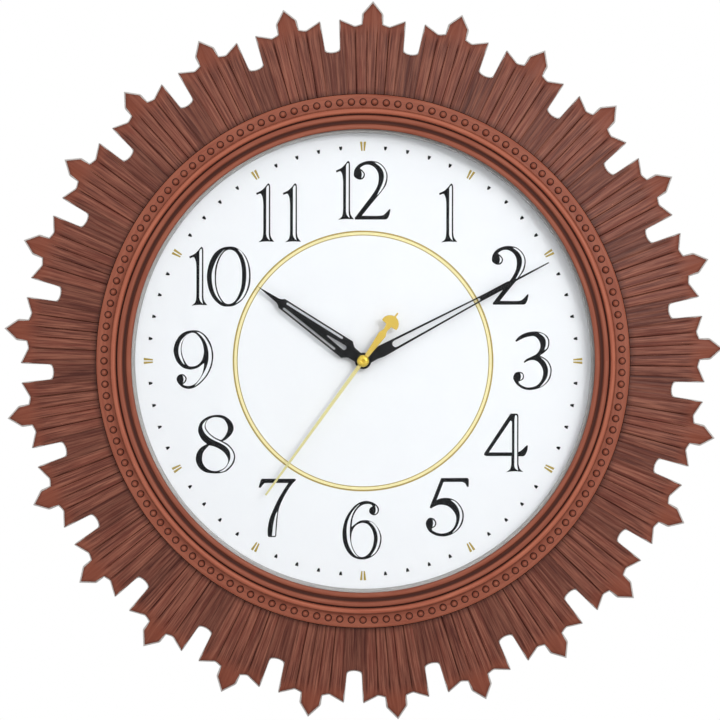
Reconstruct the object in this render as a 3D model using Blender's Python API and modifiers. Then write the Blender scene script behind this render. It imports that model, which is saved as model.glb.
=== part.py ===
"""Sunburst wall clock: a moulded ring of fluted rays round a glazed dial, over a quartz movement.

Every piece is laid out face up on a bench: x to the right, y to twelve o'clock, z out of the wall towards
the viewer, with the hands' axis at x = y = 0 and the wall at z = 0. The empty wall_frame stands that bench
layout up, so that the clock faces -Y with +Z up and the wall hook is at the world's origin.
"""
import math

import bmesh
import bpy

for old in list(bpy.data.objects):
    bpy.data.objects.remove(old, do_unlink=True)

# Gap between pieces that touch, and the angle under which neighbouring faces count as one flat face
FIT = 0.0003
FLAT = math.radians(0.1)

# Wall hook, above the hands' axis
HOOK_HEIGHT = 0.1000

# Sunburst ring: radii and widths of the outline, its height off the wall, and the flutes on its face
RAY_COUNT = 25
FIRST_RAY_TURN = math.radians(-1.6)
TIP_RADIUS = 0.1900
SPEAR_WIDE_RADIUS = 0.1832
SPEAR_HALF_WIDTH = 0.0048
SHOULDER_RADIUS = 0.1778
VALLEY_RADIUS = 0.1766
VALLEY_ANGLE = math.radians(3.1)
HORN_RADIUS = 0.1803
HORN_ANGLE = math.radians(5.43)
NOTCH_CORNER_RADIUS = 0.1625
NOTCH_FLOOR_RADIUS = 0.1613
NOTCH_HALF_WIDTH = 0.0042
RING_BORE = 0.1405
RING_BACK = 0.0120
RING_INNER_FRONT = 0.0295
RING_TIP_FRONT = 0.0200
RING_DRAFT = 0.0009
FLUTE_DEPTH = 0.0009
SPEAR_CREST = 0.4
BLADE_CREST = 0.2
NOTCH_CREST = 0.1
HORN_DIP = -0.3
GROOVE = -1.0
POCKET_INNER = 0.1480
POCKET_OUTER = 0.1715
POCKET_HALF_ANGLE = math.radians(4.1)
RING_SKIN = 0.0030

# Round case
CASE_STEPS = 48
DRUM_WALL = 0.0028
FLANGE_RADIUS = 0.1505
FLANGE_THICKNESS = 0.0025
SHELF_INNER = 0.1240
SHELF_THICKNESS = 0.0027
RECESS_DEPTH = 0.0050
RECESS_WALL = 0.0028
DRUM_TOP_THICKNESS = 0.0025

# Dial, spacer and glass
DIAL_RADIUS = 0.1275
DIAL_THICKNESS = 0.0008
DIAL_HOLE_RADIUS = 0.0041
SPACER_INNER = 0.1199
SPACER_HEIGHT = 0.0105
GLASS_RADIUS = 0.1270
GLASS_THICKNESS = 0.0023

# Bezel mouldings, from the opening outwards
BEZEL_OPENING = 0.1216
LIP_WIDTH = 0.0029
LIP_RISE = 0.0016
COVE_WIDTH = 0.0019
COVE_FLOOR = 0.0005
REED_WIDTH = 0.0027
REED_RISE = 0.0012
REED_STEP = 0.0010
QUIRK_WIDTH = 0.0008
REED_ANGLES = (180, 120, 60, 0)
BEAD_BAND_HEIGHT = 0.0060
OUTER_BAND_DROP = 0.0007
BEZEL_EDGE_ROUND = 0.0007

# Rear cover and hanger
COVER_BACK = 0.0012
COVER_THICKNESS = 0.0024
BOSS_SINK = 0.0010
WINDOW_MARGIN = 0.0030
HANGER_WIDTH = 0.0460
HANGER_HEIGHT = 0.0300
HANGER_THICKNESS = 0.0012
KEYHOLE_RADIUS = 0.0045
KEYHOLE_SLOT = 0.0046
KEYHOLE_DROP = 0.0090
KEYHOLE_MARGIN = 0.0015
RIVET_SPACING = 0.0360
RIVET_HEAD = 0.0025

# Screws
SCREW_SHANK = 0.0014
SCREW_HEAD = 0.0030
SCREW_HEAD_TAPER = 0.85
COVER_SCREW_HEAD_HEIGHT = 0.0008
SCREW_HEAD_HEIGHT = 0.0020
COVER_SCREW_COUNT = 4
FIRST_COVER_SCREW = math.radians(45)
COVER_SCREW_GRIP = 0.0080
BEZEL_SCREW_COUNT = 4
FIRST_BEZEL_SCREW = math.radians(10)
BEZEL_SCREW_GRIP = 0.0040
RING_SCREW_COUNT = 5
RING_SCREW_GRIP = 0.0080
ROUND_STEPS = 8

# Movement case
MOVEMENT_BACK = 0.0050
MOVEMENT_DEPTH = 0.0160
MOVEMENT_WIDTH = 0.0560
MOVEMENT_TOP = 0.0220
MOVEMENT_BOTTOM = -0.0345
MOVEMENT_WALL = 0.0012
MOVEMENT_DIAL_GAP = 0.0007
BATTERY_BAY_HEIGHT = 0.0165
PIVOT_DEPTH = 0.0007
LUG_REACH = 0.0095
LUG_HEIGHT = 0.0100
FOOT_RADIUS = 0.0015
FOOT_LENGTH = 0.0060
NUT_RADIUS = 0.0033
NUT_HEIGHT = 0.0024

# Battery and electrical pieces
BATTERY_RADIUS = 0.0070
BATTERY_LENGTH = 0.0490
BATTERY_NUB_RADIUS = 0.0026
BATTERY_NUB_LENGTH = 0.0015
CONTACT_THICKNESS = 0.0005
CONTACT_WIDTH = 0.0090
BOARD_WIDTH = 0.0140
BOARD_HEIGHT = 0.0160
BOARD_THICKNESS = 0.0010
BOARD_DROP = 0.0018
BOARD_LEFT = -0.0255
BOARD_LOW = -0.0140
POST_RADIUS = 0.0014
CRYSTAL_RADIUS = 0.0010
CRYSTAL_LENGTH = 0.0060
CRYSTAL_RISE = 0.0053
COIL_X = 0.0212
COIL_LOW = -0.0005
COIL_LENGTH = 0.0170
COIL_RADIUS = 0.0034
SPOOL_WALL = 0.0003
SPOOL_FLANGE = 0.0008
CORE_SIDE = 0.0020
STATOR_THICKNESS = 0.0010
STATOR_RING_WIDTH = 0.0020
STATOR_ARM_WIDTH = 0.0030
MAGNET_RADIUS = 0.0026
MAGNET_HEIGHT = 0.0026
MAGNET_AIR_GAP = 0.0005

# Gear train: tooth counts, distance between axes, and the thickness of a wheel
ROTOR_PINION = 6
INTERMEDIATE_WHEEL = 30
INTERMEDIATE_PINION = 6
SECONDS_WHEEL = 36
SECONDS_PINION = 6
THIRD_WHEEL = 45
THIRD_PINION = 6
CENTRE_WHEEL = 48
CANNON_PINION = 8
MINUTE_WHEEL = 24
MINUTE_PINION = 6
HOUR_WHEEL = 24
KNOB_PINION = 8
TRAIN_DISTANCE = 0.01224
ROTOR_DISTANCE = 0.0072
MOTION_DISTANCE = 0.0096
THIRD_TURN = math.radians(150)
INTERMEDIATE_TURN = math.radians(75)
ROTOR_TURN = math.radians(-10)
MINUTE_TURN = math.radians(-30)
KNOB_TURN = math.radians(-10)
WHEEL_THICKNESS = 0.0009
LEVEL_GAP = 0.0006
TRAIN_FLOOR_GAP = 0.0010
TOOTH_ADDENDUM = 0.70
TOOTH_DEDENDUM = 1.05
TOOTH_ROOT_SHARE = 0.52
ARBOR_RADIUS = 0.0005
STUD_RADIUS = 0.0006
TUBE_WALL = 0.0006
BUSH_WALL = 0.0011
BUSH_FLANGE_RADIUS = 0.0052
BUSH_FLANGE_THICKNESS = 0.0009
BUSH_RISE = 0.0015
KNOB_RADIUS = 0.0060
KNOB_THICKNESS = 0.0030
KNOB_FLUTE = 0.0005
KNOB_STEM_RADIUS = 0.0014

# Hands: angle clockwise from twelve at rest, height of each above the dial, and outlines
HOUR_ANGLE = math.radians(305.3)
MINUTE_ANGLE = math.radians(62.1)
SECOND_ANGLE = math.radians(216.0)
HAND_THICKNESS = 0.0006
HOUR_HAND_RISE = 0.0032
HAND_SPACING = 0.0021
PIPE_PROUD = 0.0002
HUB_RADIUS = 0.00433
HUB_STEPS = 10
SLOT_STEPS = 6

HUB_NECK = 50
HOUR_LENGTH = 0.0683
HOUR_NEEDLE_BASE = 0.0549
HOUR_NEEDLE_HALF = 0.0013
HOUR_TAPER_HALF = 0.0018
HOUR_BLADE_END = 0.0524
HOUR_BLADE_END_HALF = 0.0029
HOUR_BLADE_START = 0.0101
HOUR_BLADE_START_HALF = 0.0053
HOUR_CUSP = 0.0096
HOUR_CUSP_HALF = 0.0046
HOUR_SCALLOP = 0.0076
HOUR_SCALLOP_HALF = 0.0032
HOUR_SLOT_START = 0.0161
HOUR_SLOT_START_X = 0.0035
HOUR_SLOT_END = 0.0498
HOUR_SLOT_END_X = 0.0016
HOUR_SLOT_HALF = 0.0006
HOUR_DROP_START = 0.0122
HOUR_DROP_START_HALF = 0.0013
HOUR_DROP_END = 0.0228
HOUR_DROP_END_HALF = 0.0004

MINUTE_LENGTH = 0.1105
MINUTE_NEEDLE_BASE = 0.0883
MINUTE_NEEDLE_HALF = 0.0006
MINUTE_TIP_HALF = 0.0003
MINUTE_BAR_HALF = 0.0014
MINUTE_BAR_START = 0.0705
MINUTE_NECK_HALF = 0.0026
MINUTE_WIDE = 0.0108
MINUTE_WIDE_HALF = 0.0032
MINUTE_SLOT_START = 0.0194
MINUTE_SLOT_START_HALF = 0.0018
MINUTE_SLOT_END = 0.0690
MINUTE_SLOT_END_HALF = 0.0007

SECOND_LENGTH = 0.0872
SECOND_TIP_HALF = 0.0005
SECOND_HALF = 0.0010
SECOND_HUB_RADIUS = 0.0024
SECOND_NECK = 0.0029
TAIL_DIAMOND = 0.0172
TAIL_DIAMOND_HALF = 0.0021
TAIL_NECK = 0.0200
TAIL_NECK_HALF = 0.0010
CRESCENT_CENTRE = 0.0240
CRESCENT_RADIUS = 0.0047
CRESCENT_ARC = (-84, 8)
CRESCENT_MOUTH_HALF = 0.0016
TAIL_LENGTH = 0.0311
TAIL_SPIKE_HALF = 0.0004
SECOND_CAP_RADIUS = 0.00315
SECOND_CAP_HEIGHT = 0.0014
CAP_ANGLES = (0, 30, 60, 80)

# Heights off the wall, stacked from the wall to the glass
movement_front = MOVEMENT_BACK + MOVEMENT_DEPTH
shelf_top = movement_front + MOVEMENT_DIAL_GAP
dial_back = shelf_top + FIT
dial_front = dial_back + DIAL_THICKNESS
spacer_back = dial_front + FIT
spacer_front = spacer_back + SPACER_HEIGHT
glass_back = spacer_front + FIT
glass_front = glass_back + GLASS_THICKNESS
lip_back = glass_front + FIT
drum_top = shelf_top + RECESS_DEPTH
drum_groove_top = drum_top - DRUM_TOP_THICKNESS
bezel_back = drum_top + FIT
flange_top = RING_BACK - FIT
flange_back = flange_top - FLANGE_THICKNESS
cover_front = COVER_BACK + COVER_THICKNESS
boss_back = cover_front + FIT
hanger_back = cover_front + FIT
hanger_front = hanger_back + HANGER_THICKNESS

# Radii of the case, from the ring's bore inwards
drum_outer = RING_BORE - FIT
drum_inner = drum_outer - DRUM_WALL
recess_radius = DIAL_RADIUS + FIT
groove_inner = recess_radius + RECESS_WALL
cover_radius = drum_inner - FIT
screw_clear = SCREW_SHANK + FIT
boss_reach = drum_inner - SCREW_HEAD - 2 * FIT
boss_radius = drum_inner - boss_reach + BOSS_SINK
bezel_screw_reach = (drum_inner + groove_inner) / 2
ring_screw_reach = (RING_BORE + POCKET_INNER) / 2

# Levels of the train, stacked from the movement's rear floor
floor_top = MOVEMENT_BACK + MOVEMENT_WALL
front_plate_back = movement_front - MOVEMENT_WALL
level_step = WHEEL_THICKNESS + LEVEL_GAP
level = [floor_top + TRAIN_FLOOR_GAP + step * level_step for step in range(6)]
pivot_back = floor_top - PIVOT_DEPTH + FIT
pivot_front = front_plate_back + PIVOT_DEPTH - FIT
case_rim = front_plate_back - FIT

# Centres of the wheels
third_at = (TRAIN_DISTANCE * math.cos(THIRD_TURN), TRAIN_DISTANCE * math.sin(THIRD_TURN))
intermediate_at = (
    TRAIN_DISTANCE * math.cos(INTERMEDIATE_TURN),
    TRAIN_DISTANCE * math.sin(INTERMEDIATE_TURN),
)
rotor_at = (
    intermediate_at[0] + ROTOR_DISTANCE * math.cos(ROTOR_TURN),
    intermediate_at[1] + ROTOR_DISTANCE * math.sin(ROTOR_TURN),
)
minute_at = (MOTION_DISTANCE * math.cos(MINUTE_TURN), MOTION_DISTANCE * math.sin(MINUTE_TURN))
knob_at = (
    minute_at[0] + MOTION_DISTANCE * math.cos(KNOB_TURN),
    minute_at[1] + MOTION_DISTANCE * math.sin(KNOB_TURN),
)

# Coaxial pipes at the centre
cannon_inner = ARBOR_RADIUS + FIT
cannon_outer = cannon_inner + TUBE_WALL
hour_inner = cannon_outer + FIT
hour_outer = hour_inner + TUBE_WALL
bush_inner = hour_outer + FIT
bush_outer = bush_inner + BUSH_WALL
hour_hand_back = dial_front + HOUR_HAND_RISE
minute_hand_back = hour_hand_back + HAND_SPACING
second_hand_back = minute_hand_back + HAND_SPACING

# Collections, and the empty that stands the bench layout up on the wall
parts = bpy.data.collections.new("sunburst_wall_clock")
cutters = bpy.data.collections.new("cutters")
bpy.context.scene.collection.children.link(parts)
bpy.context.scene.collection.children.link(cutters)
wall_frame = bpy.data.objects.new("wall_frame", None)
wall_frame.location = (0, 0, -HOOK_HEIGHT)
wall_frame.rotation_euler = (math.pi / 2, 0, 0)
parts.objects.link(wall_frame)


def finish(name, colour, roughness, metallic=0.0):
    """A material with the piece's own colour, roughness and metallic value."""
    made = bpy.data.materials.new(name)
    made.use_nodes = True
    shader = made.node_tree.nodes["Principled BSDF"]
    shader.inputs["Base Color"].default_value = (*colour, 1.0)
    shader.inputs["Roughness"].default_value = roughness
    shader.inputs["Metallic"].default_value = metallic
    return made


WOODEN_PLASTIC = finish("wood_brown_plastic", (0.19, 0.065, 0.04), 0.42)
BEZEL_PLASTIC = finish("bezel_brown_plastic", (0.22, 0.07, 0.035), 0.32)
BLACK_PLASTIC = finish("black_plastic", (0.02, 0.02, 0.02), 0.5)
DIAL_WHITE = finish("dial_white", (0.90, 0.91, 0.93), 0.45)
SPACER_GREY = finish("spacer_grey", (0.60, 0.60, 0.62), 0.5)
CLEAR_GLASS = finish("clear_glass", (0.95, 0.97, 0.97), 0.03)
HAND_BLACK = finish("hand_black", (0.012, 0.012, 0.014), 0.35, 0.3)
HAND_GOLD = finish("hand_gold", (0.75, 0.55, 0.18), 0.3, 0.9)
STEEL = finish("zinc_steel", (0.60, 0.60, 0.60), 0.35, 1.0)
BRASS = finish("brass", (0.70, 0.50, 0.20), 0.3, 1.0)
COPPER = finish("copper_wire", (0.60, 0.25, 0.12), 0.35, 1.0)
GEAR_PLASTIC = finish("natural_acetal", (0.85, 0.83, 0.78), 0.45)
BOARD_GREEN = finish("board_laminate", (0.05, 0.20, 0.09), 0.5)
CELL_WRAP = finish("cell_wrap", (0.05, 0.06, 0.09), 0.35)
MAGNET_GREY = finish("magnet_grey", (0.15, 0.15, 0.16), 0.4, 0.6)


def keep(piece, name, material, at=(0, 0), turn=0.0):
    """Names a finished piece, puts it in the clock's collection and stands it on the wall frame."""
    for group in list(piece.users_collection):
        group.objects.unlink(piece)
    parts.objects.link(piece)
    piece.name = name
    piece.data.name = name
    piece.data.materials.clear()
    piece.data.materials.append(material)
    piece.parent = wall_frame
    piece.location = (at[0], at[1], 0)
    piece.rotation_euler = (0, 0, turn)
    return piece


def tool(piece, at=(0, 0), turn=0.0):
    """Puts a cutter or a shape to be fused with the cutters, hidden, on the same bench."""
    for group in list(piece.users_collection):
        group.objects.unlink(piece)
    cutters.objects.link(piece)
    piece.hide_render = True
    piece.display_type = "WIRE"
    piece.parent = wall_frame
    piece.location = (at[0], at[1], 0)
    piece.rotation_euler = (0, 0, turn)
    return piece


def combine(piece, other, operation):
    """Cuts or fuses another shape with a piece."""
    step = piece.modifiers.new(other.name, "BOOLEAN")
    step.operation = operation
    step.solver = "EXACT"
    step.object = other


def turned(name, profile, steps=CASE_STEPS, closed=True):
    """A turned shape about z from (radius, height) points, given clockwise."""
    shape = bpy.data.meshes.new(name)
    count = len(profile)
    edges = [(k, k + 1) for k in range(count - 1)]
    if closed:
        edges.append((count - 1, 0))
    shape.from_pydata([(r, 0, z) for r, z in profile], edges, [])
    piece = bpy.data.objects.new(name, shape)
    bpy.context.scene.collection.objects.link(piece)
    lathe = piece.modifiers.new("lathe", "SCREW")
    lathe.axis = "Z"
    lathe.steps = steps
    lathe.render_steps = steps
    lathe.use_merge_vertices = True
    lathe.merge_threshold = 0.000001
    lathe.use_smooth_shade = True
    return piece


def tube(name, inner, outer, low, high, steps=ROUND_STEPS):
    """A plain turned tube."""
    return turned(name, [(outer, high), (outer, low), (inner, low), (inner, high)], steps)


def rod(name, radius, low, high, steps=ROUND_STEPS):
    """A plain round bar along z."""
    bpy.ops.mesh.primitive_cylinder_add(vertices=steps, radius=radius, depth=high - low)
    piece = bpy.context.object
    piece.name = name
    piece.data.transform(piece.matrix_world)
    for point in piece.data.vertices:
        point.co.z += (low + high) / 2
    return piece


def block(name, low, high):
    """A rectangular block between two corners."""
    bpy.ops.mesh.primitive_cube_add(size=1)
    piece = bpy.context.object
    piece.name = name
    for point in piece.data.vertices:
        point.co = [(a + b) / 2 + side * (b - a) for a, b, side in zip(low, high, point.co)]
    return piece


def slab(name, loops, low, high):
    """A flat piece: the first loop is its outline, the others are holes, between two heights."""
    drawing = bpy.data.curves.new(name, "CURVE")
    drawing.dimensions = "2D"
    drawing.fill_mode = "BOTH"
    drawing.extrude = (high - low) / 2
    for loop in loops:
        line = drawing.splines.new("POLY")
        line.points.add(len(loop) - 1)
        for point, (x, y) in zip(line.points, loop):
            point.co = (x, y, 0, 1)
        line.use_cyclic_u = True
    sketch = bpy.data.objects.new(name, drawing)
    bpy.context.scene.collection.objects.link(sketch)
    bpy.context.view_layer.update()
    ready = sketch.evaluated_get(bpy.context.evaluated_depsgraph_get())
    shape = bpy.data.meshes.new_from_object(ready)
    bpy.data.objects.remove(sketch, do_unlink=True)
    welded = bmesh.new()
    welded.from_mesh(shape)
    bmesh.ops.remove_doubles(welded, verts=welded.verts, dist=0.000001)
    for point in welded.verts:
        point.co.z += (low + high) / 2
    bmesh.ops.recalc_face_normals(welded, faces=welded.faces)
    bmesh.ops.dissolve_limit(welded, angle_limit=FLAT, verts=welded.verts, edges=welded.edges)
    welded.to_mesh(shape)
    welded.free()
    piece = bpy.data.objects.new(name, shape)
    bpy.context.scene.collection.objects.link(piece)
    return piece


def arc(centre, radius, start, end, count):
    """Points along an arc, ends included, angles in degrees."""
    angles = [math.radians(start + (end - start) * k / count) for k in range(count + 1)]
    return [(centre[0] + radius * math.cos(a), centre[1] + radius * math.sin(a)) for a in angles]


def circle(radius, count=ROUND_STEPS, at=(0, 0)):
    """A closed round loop."""
    return arc(at, radius, 0, 360, count)[:-1]


def both_sides(half):
    """A symmetric loop from its right half, listed upwards."""
    left = [(-x, y) for x, y in reversed(half) if x > 0]
    return half + left


def polar(radius, angle):
    """A bench point at an angle clockwise from twelve."""
    return (radius * math.sin(angle), radius * math.cos(angle))


# Sunburst ring
def ray_outline():
    """Half a ray as (angle, radius, height as a share of the flutes), from the tip to the notch's middle."""
    half_pitch = math.pi / RAY_COUNT
    wide_angle = math.asin(SPEAR_HALF_WIDTH / SPEAR_WIDE_RADIUS)
    base_angle = math.asin(SPEAR_HALF_WIDTH / SHOULDER_RADIUS)
    corner_angle = half_pitch - math.asin(NOTCH_HALF_WIDTH / NOTCH_CORNER_RADIUS)
    shoulder_angle = (base_angle + VALLEY_ANGLE) / 2
    shoulder_radius = (SHOULDER_RADIUS + VALLEY_RADIUS) / 2
    blade_angle = (VALLEY_ANGLE + HORN_ANGLE) / 2
    blade_radius = (VALLEY_RADIUS + HORN_RADIUS) / 2
    return [
        (0.0, TIP_RADIUS, SPEAR_CREST),
        (wide_angle, SPEAR_WIDE_RADIUS, 0.0),
        (base_angle, SHOULDER_RADIUS, GROOVE),
        (shoulder_angle, shoulder_radius, 0.0),
        (VALLEY_ANGLE, VALLEY_RADIUS, GROOVE),
        (blade_angle, blade_radius, BLADE_CREST),
        (HORN_ANGLE, HORN_RADIUS, HORN_DIP),
        (corner_angle, NOTCH_CORNER_RADIUS, GROOVE),
        (half_pitch, NOTCH_FLOOR_RADIUS, NOTCH_CREST),
    ]


def inset(outline, distance):
    """The same closed outline moved inwards by a distance, corner by corner."""
    moved = []
    count = len(outline)
    for k, (x, y) in enumerate(outline):
        before = outline[k - 1]
        after = outline[(k + 1) % count]
        first = math.atan2(y - before[1], x - before[0])
        second = math.atan2(after[1] - y, after[0] - x)
        half_bend = math.remainder(second - first, 2 * math.pi) / 2
        reach = distance / math.cos(half_bend)
        aside = first + half_bend - math.pi / 2
        moved.append((x + reach * math.cos(aside), y + reach * math.sin(aside)))
    return moved


def ring_front(radius):
    """Height of the ring's sloping front at a radius."""
    run = (radius - RING_BORE) / (TIP_RADIUS - RING_BORE)
    return RING_INNER_FRONT + (RING_TIP_FRONT - RING_INNER_FRONT) * run


def make_sunburst_ring():
    """The rays: a loft from the bore's front over the fluted face and the drafted edge to a flat back."""
    half = ray_outline()
    columns = []
    for ray in range(RAY_COUNT):
        middle = ray * 2 * math.pi / RAY_COUNT
        left = [(middle - a, r, share) for a, r, share in reversed(half[1:-1])]
        right = [(middle + a, r, share) for a, r, share in half]
        columns += left + right
    silhouette = [polar(r, a) for a, r, share in columns]
    front_edge = inset(silhouette, RING_DRAFT)
    bore_front, edge_front, edge_back, bore_back = [], [], [], []
    for (x, y), (back_x, back_y), (a, r, share) in zip(front_edge, silhouette, columns):
        edge = math.hypot(x, y)
        bore = (x / edge * RING_BORE, y / edge * RING_BORE)
        flute = share * FLUTE_DEPTH
        bore_front.append((*bore, RING_INNER_FRONT + flute))
        edge_front.append((x, y, ring_front(edge) + flute))
        edge_back.append((back_x, back_y, RING_BACK))
        bore_back.append((*bore, RING_BACK))
    body = bmesh.new()
    rings = (bore_front, edge_front, edge_back, bore_back)
    loops = [[body.verts.new(point) for point in ring] for ring in rings]
    count = len(columns)
    for near, far in ((0, 1), (1, 2), (3, 0)):
        for k in range(count):
            after = (k + 1) % count
            body.faces.new((loops[near][k], loops[far][k], loops[far][after], loops[near][after]))
    bmesh.ops.triangulate(body, faces=body.faces)
    per_ray = count // RAY_COUNT
    for ray in range(RAY_COUNT):
        span = [(ray * per_ray + k) % count for k in range(per_ray + 1)]
        outer = [loops[2][k] for k in span]
        inner = [loops[3][k] for k in reversed(span)]
        body.faces.new(outer + inner)
    bmesh.ops.recalc_face_normals(body, faces=body.faces)
    shape = bpy.data.meshes.new("sunburst_ring")
    body.to_mesh(shape)
    body.free()
    ring = bpy.data.objects.new("sunburst_ring", shape)
    keep(ring, "sunburst_ring", WOODEN_PLASTIC, turn=FIRST_RAY_TURN)
    for ray in range(RAY_COUNT):
        turn = FIRST_RAY_TURN - ray * 2 * math.pi / RAY_COUNT
        combine(ring, tool(ray_pocket(), turn=turn), "DIFFERENCE")
    hole = rod("ring_screw_hole", screw_clear, RING_BACK - FIT, ring_screw_end + FIT)
    for k in range(RING_SCREW_COUNT):
        at = polar(ring_screw_reach, ring_screw_angle(k))
        combine(ring, tool(hole if k == 0 else hole.copy(), at=at), "DIFFERENCE")


def ray_pocket():
    """The hollow behind one ray, following the front's slope."""
    pocket = block("ray_pocket", (-1, POCKET_INNER, RING_BACK - FIT), (1, POCKET_OUTER, RING_BACK + FIT))
    for point in pocket.data.vertices:
        radius = point.co.y
        point.co.x *= radius * math.tan(POCKET_HALF_ANGLE)
        if point.co.z > RING_BACK:
            point.co.z = ring_front(radius) - FLUTE_DEPTH - RING_SKIN
    return pocket


def ring_screw_angle(k):
    """Ring screws sit in the ribs under the notches, evenly round the ring."""
    pitch = 2 * math.pi / RAY_COUNT
    ray = k * RAY_COUNT // RING_SCREW_COUNT
    return -FIRST_RAY_TURN + (ray + 0.5) * pitch


def screw(name, at, seat, end, head_height, head_radius=SCREW_HEAD):
    """A pan-head screw driven from behind: head below its seat, shank up to its end."""
    head_top = seat - FIT
    head_back = head_top - head_height
    profile = [
        (0, end),
        (SCREW_SHANK, end),
        (SCREW_SHANK, head_top),
        (head_radius, head_top),
        (head_radius * SCREW_HEAD_TAPER, head_back),
        (0, head_back),
    ]
    keep(turned(name, profile, ROUND_STEPS, closed=False), name, STEEL, at=at)


# Ends of the screws' shanks
ring_screw_end = flange_top + RING_SCREW_GRIP
bezel_screw_end = bezel_back + BEZEL_SCREW_GRIP
cover_screw_end = boss_back + COVER_SCREW_GRIP


def spread(count, first):
    """Evenly spaced angles round the case."""
    return [first + k * 2 * math.pi / count for k in range(count)]


cover_screw_angles = spread(COVER_SCREW_COUNT, FIRST_COVER_SCREW)
bezel_screw_angles = spread(BEZEL_SCREW_COUNT, FIRST_BEZEL_SCREW)


def make_case_drum():
    """The round case: rear rim on the wall, flange for the ring, shelf for the dial, bosses for the cover."""
    profile = [
        (drum_outer, drum_top),
        (drum_outer, flange_top),
        (FLANGE_RADIUS, flange_top),
        (FLANGE_RADIUS, flange_back),
        (drum_outer, flange_back),
        (drum_outer, 0),
        (drum_inner, 0),
        (drum_inner, drum_groove_top),
        (groove_inner, drum_groove_top),
        (groove_inner, shelf_top - SHELF_THICKNESS),
        (SHELF_INNER, shelf_top - SHELF_THICKNESS),
        (SHELF_INNER, shelf_top),
        (recess_radius, shelf_top),
        (recess_radius, drum_top),
    ]
    drum = keep(turned("case_drum", profile), "case_drum", WOODEN_PLASTIC)
    for angle in cover_screw_angles:
        at = polar(boss_reach, angle)
        boss = rod("cover_boss", boss_radius, boss_back, drum_groove_top + FIT)
        combine(drum, tool(boss, at=at), "UNION")
        pilot = rod("cover_pilot", screw_clear, boss_back - FIT, cover_screw_end + FIT)
        combine(drum, tool(pilot, at=at), "DIFFERENCE")
    for angle in bezel_screw_angles:
        hole = rod("bezel_screw_hole", screw_clear, drum_groove_top - FIT, drum_top + FIT)
        combine(drum, tool(hole, at=polar(bezel_screw_reach, angle)), "DIFFERENCE")
    for k in range(RING_SCREW_COUNT):
        hole = rod("flange_hole", screw_clear, flange_back - FIT, flange_top + FIT)
        combine(drum, tool(hole, at=polar(ring_screw_reach, ring_screw_angle(k))), "DIFFERENCE")


def make_bezel_ring():
    """The moulded bezel: lip over the glass, cove, two reeds and the bead band, down to the case."""

    def half_round(inner, width, base, rise):
        angles = [math.radians(a) for a in REED_ANGLES]
        middle = inner + width / 2
        return [(middle + width / 2 * math.cos(a), base + rise * math.sin(a)) for a in angles]

    cove_start = BEZEL_OPENING + LIP_WIDTH
    reed_start = cove_start + COVE_WIDTH
    quirk_start = reed_start + REED_WIDTH
    last_reed_start = quirk_start + QUIRK_WIDTH
    last_reed_end = last_reed_start + REED_WIDTH
    cove_floor = lip_back + COVE_FLOOR
    quirk_floor = cove_floor - REED_STEP
    band = bezel_back + BEAD_BAND_HEIGHT
    rebate = GLASS_RADIUS + 2 * FIT
    profile = half_round(BEZEL_OPENING, LIP_WIDTH, lip_back + LIP_RISE / 2, LIP_RISE / 2)
    profile.append((cove_start, cove_floor))
    profile += half_round(reed_start, REED_WIDTH, cove_floor, REED_RISE)
    profile.append((quirk_start, quirk_floor))
    profile += half_round(last_reed_start, REED_WIDTH, quirk_floor, REED_RISE)
    profile += [
        (last_reed_end, band),
        (drum_outer - BEZEL_EDGE_ROUND, band - OUTER_BAND_DROP),
        (drum_outer, band - OUTER_BAND_DROP - BEZEL_EDGE_ROUND),
        (drum_outer, bezel_back),
        (rebate, bezel_back),
        (rebate, lip_back),
        (BEZEL_OPENING, lip_back),
    ]
    bezel = keep(turned("bezel_ring", profile), "bezel_ring", BEZEL_PLASTIC)
    for angle in bezel_screw_angles:
        pilot = rod("bezel_pilot", screw_clear, bezel_back - FIT, bezel_screw_end + FIT)
        combine(bezel, tool(pilot, at=polar(bezel_screw_reach, angle)), "DIFFERENCE")


def make_glazing():
    """Dial sheet, grey spacer wall and glass, stacked in the recess of the case."""
    dial_profile = [
        (DIAL_RADIUS, dial_front),
        (DIAL_RADIUS, dial_back),
        (DIAL_HOLE_RADIUS, dial_back),
        (DIAL_HOLE_RADIUS, dial_front),
    ]
    keep(turned("dial_plate", dial_profile), "dial_plate", DIAL_WHITE)
    spacer = tube("dial_spacer_ring", SPACER_INNER, GLASS_RADIUS, spacer_back, spacer_front, CASE_STEPS)
    keep(spacer, "dial_spacer_ring", SPACER_GREY)
    keep(rod("glass_lens", GLASS_RADIUS, glass_back, glass_front, CASE_STEPS), "glass_lens", CLEAR_GLASS)


def keyhole(margin):
    """The hanger's keyhole: a round entry below a narrow slot whose top is at the hook."""
    slot = KEYHOLE_SLOT / 2 + margin
    entry = KEYHOLE_RADIUS + margin
    meet = math.degrees(math.asin(slot / entry))
    entry_at = (0, HOOK_HEIGHT - KEYHOLE_DROP)
    round_entry = arc(entry_at, entry, 90 + meet, 450 - meet, 2 * ROUND_STEPS)
    return round_entry + arc((0, HOOK_HEIGHT), slot, 0, 180, ROUND_STEPS)


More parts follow.
